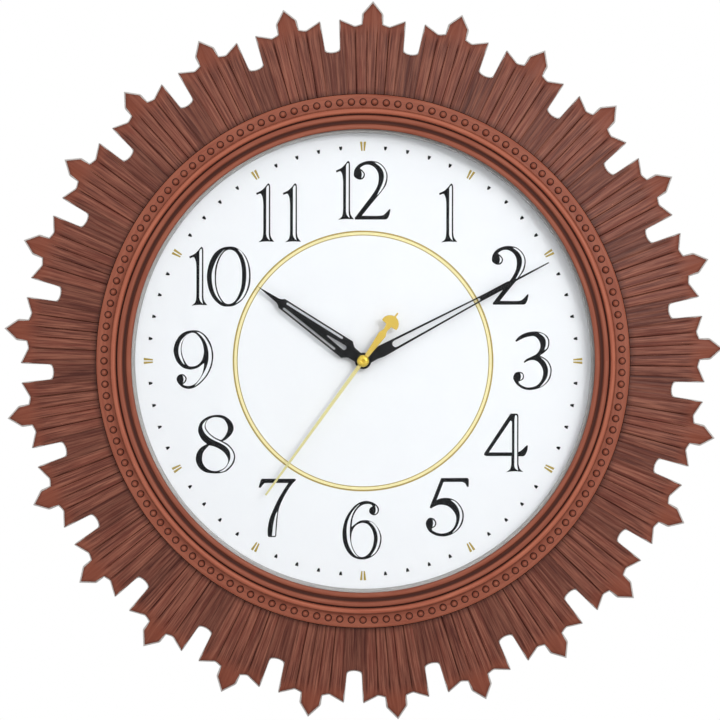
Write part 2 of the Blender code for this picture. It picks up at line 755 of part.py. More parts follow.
def make_rear_cover():
    """The flat cover behind the case, its window round the movement, and the riveted steel hanger."""
    left = -MOVEMENT_WIDTH / 2 - WINDOW_MARGIN
    window = [
        (left, MOVEMENT_BOTTOM - WINDOW_MARGIN),
        (-left, MOVEMENT_BOTTOM - WINDOW_MARGIN),
        (-left, MOVEMENT_TOP + WINDOW_MARGIN),
        (left, MOVEMENT_TOP + WINDOW_MARGIN),
    ]
    rivets = [(side * RIVET_SPACING / 2, HOOK_HEIGHT) for side in (-1, 1)]
    holes = [circle(screw_clear, at=at) for at in rivets]
    screw_holes = [circle(screw_clear, at=polar(boss_reach, angle)) for angle in cover_screw_angles]
    outline = circle(cover_radius, CASE_STEPS)
    loops = [outline, window, keyhole(KEYHOLE_MARGIN)] + holes + screw_holes
    keep(slab("rear_cover", loops, COVER_BACK, cover_front), "rear_cover", BLACK_PLASTIC)
    low = HOOK_HEIGHT - KEYHOLE_DROP / 2 - HANGER_HEIGHT / 2
    half = HANGER_WIDTH / 2
    plate = [(-half, low), (half, low), (half, low + HANGER_HEIGHT), (-half, low + HANGER_HEIGHT)]
    hanger = slab("hanger_plate", [plate, keyhole(0)] + holes, hanger_back, hanger_front)
    keep(hanger, "hanger_plate", STEEL)
    for k, at in enumerate(rivets):
        rivet_end = hanger_front + FIT
        screw(f"hanger_rivet_{k + 1}", at, COVER_BACK, rivet_end, COVER_SCREW_HEAD_HEIGHT, RIVET_HEAD)


def make_screws():
    """Cover screws, bezel screws and ring screws, all driven from behind."""
    for k, angle in enumerate(cover_screw_angles):
        at = polar(boss_reach, angle)
        screw(f"rear_cover_screw_{k + 1}", at, COVER_BACK, cover_screw_end, COVER_SCREW_HEAD_HEIGHT)
    for k, angle in enumerate(bezel_screw_angles):
        at = polar(bezel_screw_reach, angle)
        screw(f"bezel_screw_{k + 1}", at, drum_groove_top, bezel_screw_end, SCREW_HEAD_HEIGHT)
    for k in range(RING_SCREW_COUNT):
        at = polar(ring_screw_reach, ring_screw_angle(k))
        screw(f"ring_screw_{k + 1}", at, flange_back, ring_screw_end, SCREW_HEAD_HEIGHT)


# Movement
bay_top = MOVEMENT_BOTTOM + MOVEMENT_WALL + BATTERY_BAY_HEIGHT
foot_x = MOVEMENT_WIDTH / 2 + LUG_REACH / 2
foot_y = (MOVEMENT_TOP + MOVEMENT_BOTTOM) / 2
feet = [(side * foot_x, foot_y) for side in (-1, 1)]
board_front = front_plate_back - BOARD_DROP
board_back = board_front - BOARD_THICKNESS
stator_back = level[2]
coil_height = stator_back + STATOR_THICKNESS + FIT + CORE_SIDE / 2
board_posts = [
    (BOARD_LEFT + 2 * POST_RADIUS, BOARD_LOW + 2 * POST_RADIUS),
    (BOARD_LEFT + 2 * POST_RADIUS, BOARD_LOW + BOARD_HEIGHT - 2 * POST_RADIUS),
]
stator_posts = [
    (COIL_X, COIL_LOW - STATOR_ARM_WIDTH / 2 - FIT),
    (COIL_X, COIL_LOW + COIL_LENGTH + STATOR_ARM_WIDTH / 2 + FIT),
]


def make_movement_case():
    """Two moulded halves: a deep rear case with the open battery bay, and the front plate with lugs."""
    half = MOVEMENT_WIDTH / 2
    inside = half - MOVEMENT_WALL
    low = (-half, MOVEMENT_BOTTOM, MOVEMENT_BACK)
    rear = block("movement_rear_case", low, (half, MOVEMENT_TOP, case_rim))
    keep(rear, "movement_rear_case", BLACK_PLASTIC)
    train_room = block(
        "train_room",
        (-inside, bay_top + MOVEMENT_WALL, floor_top),
        (inside, MOVEMENT_TOP - MOVEMENT_WALL, movement_front),
    )
    combine(rear, tool(train_room), "DIFFERENCE")
    bay = block(
        "battery_bay",
        (-inside, MOVEMENT_BOTTOM + MOVEMENT_WALL, MOVEMENT_BACK - FIT),
        (inside, bay_top, movement_front),
    )
    combine(rear, tool(bay), "DIFFERENCE")
    for at in ((0, 0), third_at, intermediate_at, rotor_at):
        bearing = rod("rear_bearing", ARBOR_RADIUS + FIT, floor_top - PIVOT_DEPTH, floor_top + FIT)
        combine(rear, tool(bearing, at=at), "DIFFERENCE")
    stem_hole = rod("stem_hole", KNOB_STEM_RADIUS + FIT, MOVEMENT_BACK - FIT, floor_top + FIT)
    combine(rear, tool(stem_hole, at=knob_at), "DIFFERENCE")
    for at in stator_posts:
        post = rod("stator_post", POST_RADIUS, floor_top - FIT, stator_back - FIT)
        combine(rear, tool(post, at=at), "UNION")

    low = (-half, MOVEMENT_BOTTOM, front_plate_back)
    front = block("movement_front_case", low, (half, MOVEMENT_TOP, movement_front))
    keep(front, "movement_front_case", BLACK_PLASTIC)
    wide = half + LUG_REACH
    lugs = block(
        "lugs",
        (-wide, foot_y - LUG_HEIGHT / 2, front_plate_back),
        (wide, foot_y + LUG_HEIGHT / 2, movement_front),
    )
    combine(front, tool(lugs), "UNION")
    hole_low = front_plate_back - FIT
    hole_high = movement_front + FIT
    bush_hole = rod("bush_hole", bush_outer + FIT, hole_low, hole_high, ROUND_STEPS * 2)
    combine(front, tool(bush_hole), "DIFFERENCE")
    for at in feet:
        lug_hole = rod("lug_hole", FOOT_RADIUS + FIT, hole_low, hole_high)
        combine(front, tool(lug_hole, at=at), "DIFFERENCE")
    for at in (third_at, intermediate_at, rotor_at, knob_at):
        bearing = rod("front_bearing", ARBOR_RADIUS + FIT, hole_low, front_plate_back + PIVOT_DEPTH)
        combine(front, tool(bearing, at=at), "DIFFERENCE")
    stud = rod("minute_stud", STUD_RADIUS, level[4] - LEVEL_GAP / 2, front_plate_back + FIT)
    combine(front, tool(stud, at=minute_at), "UNION")
    for at in board_posts:
        post = rod("board_post", POST_RADIUS, board_front + FIT, front_plate_back + FIT)
        combine(front, tool(post, at=at), "UNION")

    flange_high = front_plate_back - FIT
    bush_profile = [
        (bush_outer, dial_front + BUSH_RISE),
        (bush_outer, flange_high),
        (BUSH_FLANGE_RADIUS, flange_high),
        (BUSH_FLANGE_RADIUS, flange_high - BUSH_FLANGE_THICKNESS),
        (bush_inner, flange_high - BUSH_FLANGE_THICKNESS),
        (bush_inner, dial_front + BUSH_RISE),
    ]
    keep(turned("centre_bush", bush_profile, ROUND_STEPS * 2), "centre_bush", BRASS)
    for k, at in enumerate(feet):
        foot = rod(f"dial_foot_{k + 1}", FOOT_RADIUS, dial_back - FIT - FOOT_LENGTH, dial_back - FIT)
        keep(foot, f"dial_foot_{k + 1}", STEEL, at=at)
        nut_top = front_plate_back - FIT
        nut_loops = [circle(NUT_RADIUS, 6), circle(FOOT_RADIUS + FIT)]
        nut = slab(f"foot_nut_{k + 1}", nut_loops, nut_top - NUT_HEIGHT, nut_top)
        keep(nut, f"foot_nut_{k + 1}", STEEL, at=at)


def make_battery():
    """One round cell lying in the bay between its two spring contacts."""
    middle_y = MOVEMENT_BOTTOM + MOVEMENT_WALL + BATTERY_BAY_HEIGHT / 2
    middle_z = MOVEMENT_BACK + BATTERY_RADIUS + FIT
    half = BATTERY_LENGTH / 2
    profile = [
        (0, half),
        (BATTERY_NUB_RADIUS, half),
        (BATTERY_NUB_RADIUS, half - BATTERY_NUB_LENGTH),
        (BATTERY_RADIUS, half - BATTERY_NUB_LENGTH),
        (BATTERY_RADIUS, -half),
        (0, -half),
    ]
    cell = keep(turned("battery_cell", profile, ROUND_STEPS * 2, closed=False), "battery_cell", CELL_WRAP)
    cell.location = (0, middle_y, middle_z)
    cell.rotation_euler = (0, math.pi / 2, 0)
    inside = MOVEMENT_WIDTH / 2 - MOVEMENT_WALL
    for side, name in ((1, "battery_contact_positive"), (-1, "battery_contact_negative")):
        near = side * (half + FIT)
        far = side * (inside - FIT)
        low = (min(near, far), middle_y - CONTACT_WIDTH / 2, middle_z - CONTACT_WIDTH / 2)
        high = (max(near, far), middle_y + CONTACT_WIDTH / 2, middle_z + CONTACT_WIDTH / 2)
        keep(contact_clip(name, low, high, side), name, BRASS)


def contact_clip(name, low, high, side):
    """A bent leaf seen from the front as a V: one leg on the bay's wall, one on the cell."""
    wall = high[0] if side > 0 else low[0]
    cell = low[0] if side > 0 else high[0]
    inner_wall = wall - side * CONTACT_THICKNESS
    inner_cell = cell + side * CONTACT_THICKNESS
    outline = [
        (wall, low[1]),
        (wall, high[1]),
        (cell, high[1]),
        (cell, low[1] + CONTACT_THICKNESS),
        (inner_cell, low[1] + CONTACT_THICKNESS),
        (inner_cell, high[1] - CONTACT_THICKNESS),
        (inner_wall, high[1] - CONTACT_THICKNESS),
        (inner_wall, low[1]),
    ]
    return slab(name, [outline], low[2], high[2])


def make_circuit():
    """Circuit board on two posts with the quartz crystal under it, and the stepping motor's coil and stator."""
    low = (BOARD_LEFT, BOARD_LOW, board_back)
    high = (BOARD_LEFT + BOARD_WIDTH, BOARD_LOW + BOARD_HEIGHT, board_front)
    keep(block("circuit_board", low, high), "circuit_board", BOARD_GREEN)
    crystal = rod("quartz_crystal", CRYSTAL_RADIUS, -CRYSTAL_LENGTH / 2, CRYSTAL_LENGTH / 2)
    keep(crystal, "quartz_crystal", STEEL)
    crystal.location = (
        BOARD_LEFT + BOARD_WIDTH / 2,
        BOARD_LOW + CRYSTAL_RISE,
        board_back - FIT - CRYSTAL_RADIUS,
    )
    crystal.rotation_euler = (math.pi / 2, 0, 0)

    coil_middle = COIL_LOW + COIL_LENGTH / 2
    half = COIL_LENGTH / 2
    core_half = CORE_SIDE / 2
    bore = core_half * math.sqrt(2) + FIT
    spool_inner = bore / math.cos(math.pi / ROUND_STEPS)
    spool_outer = spool_inner + SPOOL_WALL
    spool_profile = [
        (COIL_RADIUS, half),
        (COIL_RADIUS, half - SPOOL_FLANGE),
        (spool_outer, half - SPOOL_FLANGE),
        (spool_outer, SPOOL_FLANGE - half),
        (COIL_RADIUS, SPOOL_FLANGE - half),
        (COIL_RADIUS, -half),
        (spool_inner, -half),
        (spool_inner, half),
    ]
    spool = keep(turned("coil_bobbin", spool_profile, ROUND_STEPS), "coil_bobbin", GEAR_PLASTIC)
    wire_half = half - SPOOL_FLANGE - FIT
    wire_inner = (spool_outer + FIT) / math.cos(math.pi / ROUND_STEPS)
    winding = tube("coil_winding", wire_inner, COIL_RADIUS - FIT, -wire_half, wire_half)
    keep(winding, "coil_winding", COPPER)
    for piece in (spool, winding):
        piece.location = (COIL_X, coil_middle, coil_height)
        piece.rotation_euler = (math.pi / 2, 0, 0)
    core_reach = half + STATOR_ARM_WIDTH
    core = block(
        "coil_core",
        (COIL_X - core_half, coil_middle - core_reach, coil_height - core_half),
        (COIL_X + core_half, coil_middle + core_reach, coil_height + core_half),
    )
    keep(core, "coil_core", STEEL)

    bore = MAGNET_RADIUS + MAGNET_AIR_GAP
    pole = bore + STATOR_RING_WIDTH
    top = coil_middle + core_reach
    bottom = coil_middle - core_reach
    right = COIL_X + core_half
    pole_right = rotor_at[0] + pole * math.cos(math.pi / 4)
    pole_top = rotor_at[1] + pole * math.sin(math.pi / 4)
    pole_bottom = rotor_at[1] - pole * math.sin(math.pi / 4)
    inner_x = COIL_X - COIL_RADIUS - FIT
    outline = arc(rotor_at, pole, 45, 315, ROUND_STEPS)
    outline += [
        (inner_x - STATOR_ARM_WIDTH / 2, bottom),
        (right, bottom),
        (right, bottom + STATOR_ARM_WIDTH),
        (inner_x, bottom + STATOR_ARM_WIDTH),
        (inner_x, (pole_bottom + pole_top) / 2),
        (inner_x, top - STATOR_ARM_WIDTH),
        (right, top - STATOR_ARM_WIDTH),
        (right, top),
        (inner_x - STATOR_ARM_WIDTH / 2, top),
    ]
    loops = [outline, circle(bore, ROUND_STEPS * 2, rotor_at)]
    stator = slab("stator_plate", loops, stator_back, stator_back + STATOR_THICKNESS)
    keep(stator, "stator_plate", STEEL)


def gear(teeth, pitch_radius, phase):
    """A closed loop of pointed teeth, the first tooth's middle at the phase angle."""
    module = 2 * pitch_radius / teeth
    tip = pitch_radius + TOOTH_ADDENDUM * module
    root = pitch_radius - TOOTH_DEDENDUM * module
    pitch = 2 * math.pi / teeth
    loop = []
    for k in range(teeth):
        middle = phase + k * pitch
        corners = ((root, -TOOTH_ROOT_SHARE), (tip, 0), (root, TOOTH_ROOT_SHARE))
        for radius, share in corners:
            angle = middle + share * pitch / 2
            loop.append((radius * math.cos(angle), radius * math.sin(angle)))
    return loop


def meshing_phase(teeth, phase, other_teeth, direction):
    """Phase of another gear whose gap faces a tooth of this gear along a direction."""
    pitch = 2 * math.pi / teeth
    other_pitch = 2 * math.pi / other_teeth
    along = (direction - phase) / pitch
    return direction + math.pi - (0.5 - along) * other_pitch


def pitch_radii(first, second, distance):
    """Pitch radii of two meshing gears."""
    return distance * first / (first + second), distance * second / (first + second)


def layered(name, material, layers, at=(0, 0)):
    """A wheel moulded in one piece from stacked flat layers of (loops, low, high)."""
    first = layers[0]
    piece = keep(slab(name, first[0], first[1], first[2]), name, material, at=at)
    for loops, low, high in layers[1:]:
        combine(piece, tool(slab(name + "_layer", loops, low, high), at=at), "UNION")
    return piece


def make_train():
    """Stepping rotor to second hand, second hand to centre wheel, and the motion work to the hour hand."""
    rotor_r, intermediate_r = pitch_radii(ROTOR_PINION, INTERMEDIATE_WHEEL, ROTOR_DISTANCE)
    leaf_r, seconds_r = pitch_radii(INTERMEDIATE_PINION, SECONDS_WHEEL, TRAIN_DISTANCE)
    seconds_leaf_r, third_r = pitch_radii(SECONDS_PINION, THIRD_WHEEL, TRAIN_DISTANCE)
    third_leaf_r, centre_r = pitch_radii(THIRD_PINION, CENTRE_WHEEL, TRAIN_DISTANCE)
    cannon_r, minute_r = pitch_radii(CANNON_PINION, MINUTE_WHEEL, MOTION_DISTANCE)
    minute_leaf_r, hour_r = pitch_radii(MINUTE_PINION, HOUR_WHEEL, MOTION_DISTANCE)
    top = [low + WHEEL_THICKNESS for low in level]
    joined = LEVEL_GAP / 2

    arbor = circle(ARBOR_RADIUS)
    seconds_phase = meshing_phase(INTERMEDIATE_PINION, 0, SECONDS_WHEEL, INTERMEDIATE_TURN + math.pi)
    rotor_phase = meshing_phase(INTERMEDIATE_WHEEL, 0, ROTOR_PINION, ROTOR_TURN)
    magnet_low = stator_back + STATOR_THICKNESS / 2 - MAGNET_HEIGHT / 2
    layered("rotor", MAGNET_GREY, [
        ([circle(MAGNET_RADIUS, ROUND_STEPS * 2)], magnet_low, magnet_low + MAGNET_HEIGHT),
        ([gear(ROTOR_PINION, rotor_r, rotor_phase)], level[0], top[0]),
        ([arbor], pivot_back, pivot_front),
    ], rotor_at)
    layered("intermediate_wheel", GEAR_PLASTIC, [
        ([gear(INTERMEDIATE_WHEEL, intermediate_r, 0)], level[0], top[0]),
        ([gear(INTERMEDIATE_PINION, leaf_r, 0)], top[0] - joined, top[1]),
        ([arbor], pivot_back, pivot_front),
    ], intermediate_at)
    layered("seconds_wheel", GEAR_PLASTIC, [
        ([gear(SECONDS_WHEEL, seconds_r, seconds_phase)], level[1], top[1]),
        ([gear(SECONDS_PINION, seconds_leaf_r, 0)], top[1] - joined, top[2]),
        ([arbor], pivot_back, second_hand_back + HAND_THICKNESS + PIPE_PROUD),
    ])
    third_phase = meshing_phase(SECONDS_PINION, 0, THIRD_WHEEL, THIRD_TURN)
    layered("third_wheel", GEAR_PLASTIC, [
        ([gear(THIRD_WHEEL, third_r, third_phase)], level[2], top[2]),
        ([gear(THIRD_PINION, third_leaf_r, 0)], top[2] - joined, top[3]),
        ([arbor], pivot_back, pivot_front),
    ], third_at)
    centre_phase = meshing_phase(THIRD_PINION, 0, CENTRE_WHEEL, THIRD_TURN + math.pi)
    bore = circle(cannon_inner)
    clutch = circle(cannon_outer + TUBE_WALL)
    layered("centre_wheel", GEAR_PLASTIC, [
        ([gear(CENTRE_WHEEL, centre_r, centre_phase), bore], level[3], top[3]),
        ([clutch, bore], top[3] - joined, level[4] - FIT),
    ])
    layered("cannon_pinion", BRASS, [
        ([gear(CANNON_PINION, cannon_r, 0), bore], level[4], top[4]),
        ([circle(cannon_outer), bore], top[4] - joined, minute_hand_back + HAND_THICKNESS + PIPE_PROUD),
    ])
    minute_phase = meshing_phase(CANNON_PINION, 0, MINUTE_WHEEL, MINUTE_TURN)
    stud_bore = circle(STUD_RADIUS + FIT)
    layered("minute_wheel", GEAR_PLASTIC, [
        ([gear(MINUTE_WHEEL, minute_r, minute_phase), stud_bore], level[4], top[4]),
        ([gear(MINUTE_PINION, minute_leaf_r, 0), stud_bore], top[4] - joined, top[5]),
    ], minute_at)
    hour_phase = meshing_phase(MINUTE_PINION, 0, HOUR_WHEEL, MINUTE_TURN + math.pi)
    pipe = circle(hour_inner, ROUND_STEPS)
    layered("hour_wheel", GEAR_PLASTIC, [
        ([gear(HOUR_WHEEL, hour_r, hour_phase), pipe], level[5], top[5]),
        ([circle(hour_outer), pipe], top[5] - joined, hour_hand_back + HAND_THICKNESS + PIPE_PROUD),
    ])
    knob_phase = meshing_phase(MINUTE_WHEEL, minute_phase, KNOB_PINION, KNOB_TURN)
    knob_back = MOVEMENT_BACK - FIT - KNOB_THICKNESS
    grip = [
        polar(KNOB_RADIUS - (k % 2) * KNOB_FLUTE, k * math.pi / ROUND_STEPS)
        for k in range(2 * ROUND_STEPS)
    ]
    layered("setting_knob", BLACK_PLASTIC, [
        ([grip], knob_back, MOVEMENT_BACK - FIT),
        ([circle(KNOB_STEM_RADIUS)], MOVEMENT_BACK - 2 * FIT, top[4] + joined),
        ([gear(KNOB_PINION, cannon_r, knob_phase)], level[4], top[4]),
        ([arbor], top[4], pivot_front),
    ], knob_at)


# Hands
def make_hour_hand():
    """Black pierced hand: needle, tapered blade with two side slots and a drop-shaped slot, scalloped neck."""
    half = arc((0, 0), HUB_RADIUS, -90, HUB_NECK, HUB_STEPS)
    half += [
        (HOUR_SCALLOP_HALF, HOUR_SCALLOP),
        (HOUR_CUSP_HALF, HOUR_CUSP),
        (HOUR_BLADE_START_HALF, HOUR_BLADE_START),
        (HOUR_BLADE_END_HALF, HOUR_BLADE_END),
        (HOUR_TAPER_HALF, (HOUR_BLADE_END + HOUR_NEEDLE_BASE) / 2),
        (HOUR_NEEDLE_HALF, HOUR_NEEDLE_BASE),
        (0, HOUR_LENGTH),
    ]
    slots = []
    for side in (-1, 1):
        start = (side * HOUR_SLOT_START_X, HOUR_SLOT_START)
        end = (side * HOUR_SLOT_END_X, HOUR_SLOT_END)
        slots.append(slot(start, HOUR_SLOT_HALF, end, HOUR_SLOT_HALF))
    drop = slot((0, HOUR_DROP_START), HOUR_DROP_START_HALF, (0, HOUR_DROP_END), HOUR_DROP_END_HALF)
    loops = [both_sides(half), circle(hour_outer + FIT), drop] + slots
    hand = slab("hour_hand", loops, hour_hand_back, hour_hand_back + HAND_THICKNESS)
    keep(hand, "hour_hand", HAND_BLACK, turn=-HOUR_ANGLE)


def slot(start, start_half, end, end_half):
    """A tapered slot with round ends between two points."""
    along = math.degrees(math.atan2(end[1] - start[1], end[0] - start[0]))
    near = arc(start, start_half, along + 90, along + 270, SLOT_STEPS)
    return near + arc(end, end_half, along - 90, along + 90, SLOT_STEPS)


def make_minute_hand():
    """Black hand: wide neck, long tapering slot, solid bar and a thin needle."""
    half = arc((0, 0), HUB_RADIUS, -90, HUB_NECK, HUB_STEPS)
    half += [
        (MINUTE_NECK_HALF, (HUB_RADIUS + MINUTE_WIDE) / 2),
        (MINUTE_WIDE_HALF, MINUTE_WIDE),
        (MINUTE_BAR_HALF, MINUTE_BAR_START),
        (MINUTE_BAR_HALF, MINUTE_NEEDLE_BASE - MINUTE_BAR_HALF),
        (MINUTE_NEEDLE_HALF, MINUTE_NEEDLE_BASE),
        (MINUTE_TIP_HALF, MINUTE_LENGTH),
    ]
    start = (0, MINUTE_SLOT_START)
    opening = slot(start, MINUTE_SLOT_START_HALF, (0, MINUTE_SLOT_END), MINUTE_SLOT_END_HALF)
    loops = [both_sides(half), circle(cannon_outer + FIT), opening]
    hand = slab("minute_hand", loops, minute_hand_back, minute_hand_back + HAND_THICKNESS)
    keep(hand, "minute_hand", HAND_BLACK, turn=-MINUTE_ANGLE)


def make_second_hand():
    """Gilt hand with a long pointer, a diamond neck and a crescent counterweight with a spike, and its cap."""
    crescent = arc((0, -CRESCENT_CENTRE), CRESCENT_RADIUS, *CRESCENT_ARC, SLOT_STEPS)
    half = [(TAIL_SPIKE_HALF, -TAIL_LENGTH)] + crescent
    half += [
        (CRESCENT_MOUTH_HALF, -CRESCENT_CENTRE + TAIL_NECK_HALF),
        (TAIL_NECK_HALF, -TAIL_NECK),
        (TAIL_DIAMOND_HALF, -TAIL_DIAMOND),
        (SECOND_HALF, -SECOND_HUB_RADIUS),
    ]
    half += arc((0, 0), SECOND_HUB_RADIUS, -60, 60, SLOT_STEPS)
    half += [(SECOND_HALF, SECOND_NECK), (SECOND_TIP_HALF, SECOND_LENGTH)]
    loops = [both_sides(half), circle(ARBOR_RADIUS + FIT)]
    hand = slab("second_hand", loops, second_hand_back, second_hand_back + HAND_THICKNESS)
    keep(hand, "second_hand", HAND_GOLD, turn=-SECOND_ANGLE)
    cap_back = second_hand_back + HAND_THICKNESS + FIT + PIPE_PROUD
    dome = [
        (SECOND_CAP_RADIUS * math.sin(a), cap_back + SECOND_CAP_HEIGHT * math.cos(a))
        for a in [math.radians(turn) for turn in CAP_ANGLES]
    ]
    dome += [(SECOND_CAP_RADIUS, cap_back), (0, cap_back)]
    keep(turned("second_hand_cap", dome, ROUND_STEPS * 2, closed=False), "second_hand_cap", HAND_GOLD)


make_sunburst_ring()
make_case_drum()
make_bezel_ring()
make_glazing()
make_rear_cover()
make_screws()
make_movement_case()
make_battery()
make_circuit()
make_train()
make_hour_hand()
make_minute_hand()
make_second_hand()
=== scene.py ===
"""Sunburst wall clock, dressed over its solid model.

Pieces are laid out on a bench in millimetres: x to the right, y to twelve o'clock, z out of the wall, with the
hands' axis at x = y = 0. bench_to_wall stands them up as the solids stand: facing -Y, hung at the origin.
"""
import math

import bmesh
import bpy
from mathutils import Matrix, Vector


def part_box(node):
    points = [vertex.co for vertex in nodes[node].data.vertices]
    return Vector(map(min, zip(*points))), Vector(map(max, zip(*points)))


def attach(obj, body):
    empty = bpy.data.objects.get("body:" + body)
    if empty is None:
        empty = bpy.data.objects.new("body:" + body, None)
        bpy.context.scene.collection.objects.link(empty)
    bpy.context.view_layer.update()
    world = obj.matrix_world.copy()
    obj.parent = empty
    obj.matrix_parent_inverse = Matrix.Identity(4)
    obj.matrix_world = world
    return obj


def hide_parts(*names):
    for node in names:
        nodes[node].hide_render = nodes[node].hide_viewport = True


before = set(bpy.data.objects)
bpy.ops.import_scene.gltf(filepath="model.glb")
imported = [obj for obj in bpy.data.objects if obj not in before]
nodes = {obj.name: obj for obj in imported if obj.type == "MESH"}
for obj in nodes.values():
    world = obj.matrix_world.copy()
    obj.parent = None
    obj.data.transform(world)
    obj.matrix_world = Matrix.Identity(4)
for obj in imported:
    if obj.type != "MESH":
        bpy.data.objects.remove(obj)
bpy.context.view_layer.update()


# Case drum: the round body behind the bezel, with a flange that carries the rays and a shelf for the dial.
# Injection-moulded ABS in a red-brown colour, left with the faint orange-peel of an untextured mould.
# One moulding; its rear rim rests on the wall.
HOOK_HEIGHT = 100.0
stand_up = Matrix.Rotation(math.pi / 2, 4, "X") @ Matrix.Scale(0.001, 4)
bench_to_wall = Matrix.Translation((0, 0, -HOOK_HEIGHT / 1000)) @ stand_up


def linear(code):
    """A written colour such as "80483C" as linear red, green, blue and alpha."""
    shares = [int(code[k:k + 2], 16) / 255 for k in (0, 2, 4)]
    return (*[s / 12.92 if s <= 0.04045 else ((s + 0.055) / 1.055) ** 2.4 for s in shares], 1.0)


def connect(value, socket):
    """Gives an input a plain value, or a link from a socket or from a node's first output in use."""
    if isinstance(value, bpy.types.Node):
        value = next(output for output in value.outputs if output.enabled)
    if isinstance(value, bpy.types.NodeSocket):
        socket.id_data.links.new(value, socket)
    else:
        socket.default_value = value


def node(tree, kind, inputs, **settings):
    """Adds one shader node: settings go on the node, and each input takes a value, a socket or a node."""
    made = tree.nodes.new("ShaderNode" + kind)
    for name, value in settings.items():
        setattr(made, name, value)
    for name, value in inputs.items():
        connect(value, made.inputs[name])
    return made


def feed(shader, **values):
    """Sets or links inputs of a shader, each named with an underscore for a space."""
    for key, value in values.items():
        connect(value, shader.inputs[key.replace("_", " ")])


def material(name, **values):
    """A new material, its node tree and its main shader with plain values set."""
    made = bpy.data.materials.new(name)
    made.use_nodes = True
    shader = made.node_tree.nodes["Principled BSDF"]
    feed(shader, **values)
    return made, made.node_tree, shader


def mottled(shader, scale, detail, dark, light):
    """Colours a shader between two colours by noise, of a scale per metre, and gives the noise."""
    tree = shader.id_data
    place = node(tree, "TexCoord", {})
    noise = node(tree, "TexNoise", {"Vector": place.outputs["Object"], "Scale": scale, "Detail": detail})
    feed(shader, Base_Color=node(tree, "Mix", {0: noise, 6: linear(dark), 7: linear(light)}, data_type="RGBA"))
    return noise


def grained(shader, scale, strength, distance):
    """Gives a shader a fine relief of noise, of a scale per metre and a depth in metres."""
    tree = shader.id_data
    place = node(tree, "TexCoord", {})
    noise = node(tree, "TexNoise", {"Vector": place.outputs["Object"], "Scale": scale, "Detail": 1})
    feed(shader, Normal=node(tree, "Bump", {"Strength": strength, "Distance": distance, "Height": noise}))


def lathe(profile, steps):
    """Turns points of radius, height and any recess, listed clockwise, into the makings of a piece."""
    points, recess, faces, grain, rows = [], [], [], [], []
    for radius, height, *deep in profile:
        turns = steps if radius else 1
        rows.append([len(points) + k % turns for k in range(steps + 1)])
        for k in range(turns):
            angle = 2 * math.pi * k / steps
            points.append((radius * math.cos(angle), radius * math.sin(angle), height))
            recess.append(deep[0] if deep else 0.0)
    widest = max(point[0] for point in profile)
    along = [0.0]
    for k in range(len(profile)):
        here, after = profile[k], profile[(k + 1) % len(profile)]
        along.append(along[-1] + math.dist(here[:2], after[:2]))
    for row in range(len(rows)):
        near, far = rows[row], rows[(row + 1) % len(rows)]
        if near[0] == near[1] and far[0] == far[1]:
            continue
        for k in range(steps):
            ring = [
                (near[k], k, row), (far[k], k, row + 1), (far[k + 1], k + 1, row + 1), (near[k + 1], k + 1, row),
            ]
            if near[0] == near[1]:
                ring.pop()
            elif far[0] == far[1]:
                ring.pop(2)
            faces.append([point for point, turn, up in ring])
            grain += [(2 * math.pi * widest * turn / steps, along[up]) for point, turn, up in ring]
    return points, faces, recess, grain


def placed(name, data):
    """A new object in the scene."""
    made = bpy.data.objects.new(name, data)
    bpy.context.scene.collection.objects.link(made)
    return made


def piece(name, shape, materials, body, sharp=35, which=None):
    """Makes a visible piece from points, faces, recess values and grain map, and hangs it on a body."""
    points, faces, recess, grain = shape
    mesh = bpy.data.meshes.new(name)
    mesh.from_pydata(points, [], faces)
    mesh.uv_layers.new(name="grain").data.foreach_set("uv", [value for pair in grain for value in pair])
    mesh.attributes.new("recess", "FLOAT", "POINT").data.foreach_set("value", recess)
    for finish in materials:
        mesh.materials.append(finish)
    if which:
        mesh.polygons.foreach_set("material_index", which)
    mesh.transform(bench_to_wall)
    mesh.shade_smooth()
    mesh.set_sharp_from_angle(angle=math.radians(sharp))
    made = placed(name, mesh)
    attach(made, body)
    return made


drum_abs, tree, shader = material("moulded_brown_abs", Roughness=0.45, IOR=1.53)
# Flow marks of the moulding, about 8 mm wide, and orange-peel of about 0.6 mm
mottled(shader, 120, 2, "6A3228", "7C4034")
grained(shader, 1600, 0.12, 0.0001)
drum_profile = [
    (124.0, 21.7), (127.8, 21.7), (127.8, 26.7), (140.2, 26.7), (140.2, 11.7, 0.3), (150.1, 11.7), (150.5, 11.3),
    (150.5, 9.6), (150.1, 9.2), (140.2, 9.2, 0.3), (140.2, 0.5), (139.7, 0.02), (137.9, 0.02), (137.4, 0.5),
    (137.4, 24.2, 0.4), (130.6, 24.2, 0.4), (130.6, 19.0, 0.3), (124.0, 19.0),
]
drum = piece("case_drum_shell", lathe(drum_profile, 160), [drum_abs], "case")
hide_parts("case_drum")


def wear(finish, *names):
    """Puts a material on solids that keep their shape."""
    for name in names:
        nodes[name].data.materials.clear()
        nodes[name].data.materials.append(finish)


dial_lacquer, tree, shader = material("white_dial_lacquer", Roughness=0.55, IOR=1.5, Specular_IOR_Level=0.3)
mottled(shader, 90, 2, "F3F4F8", "F7F8FB")
grained(shader, 2500, 0.05, 0.00005)
wear(dial_lacquer, "dial_plate")


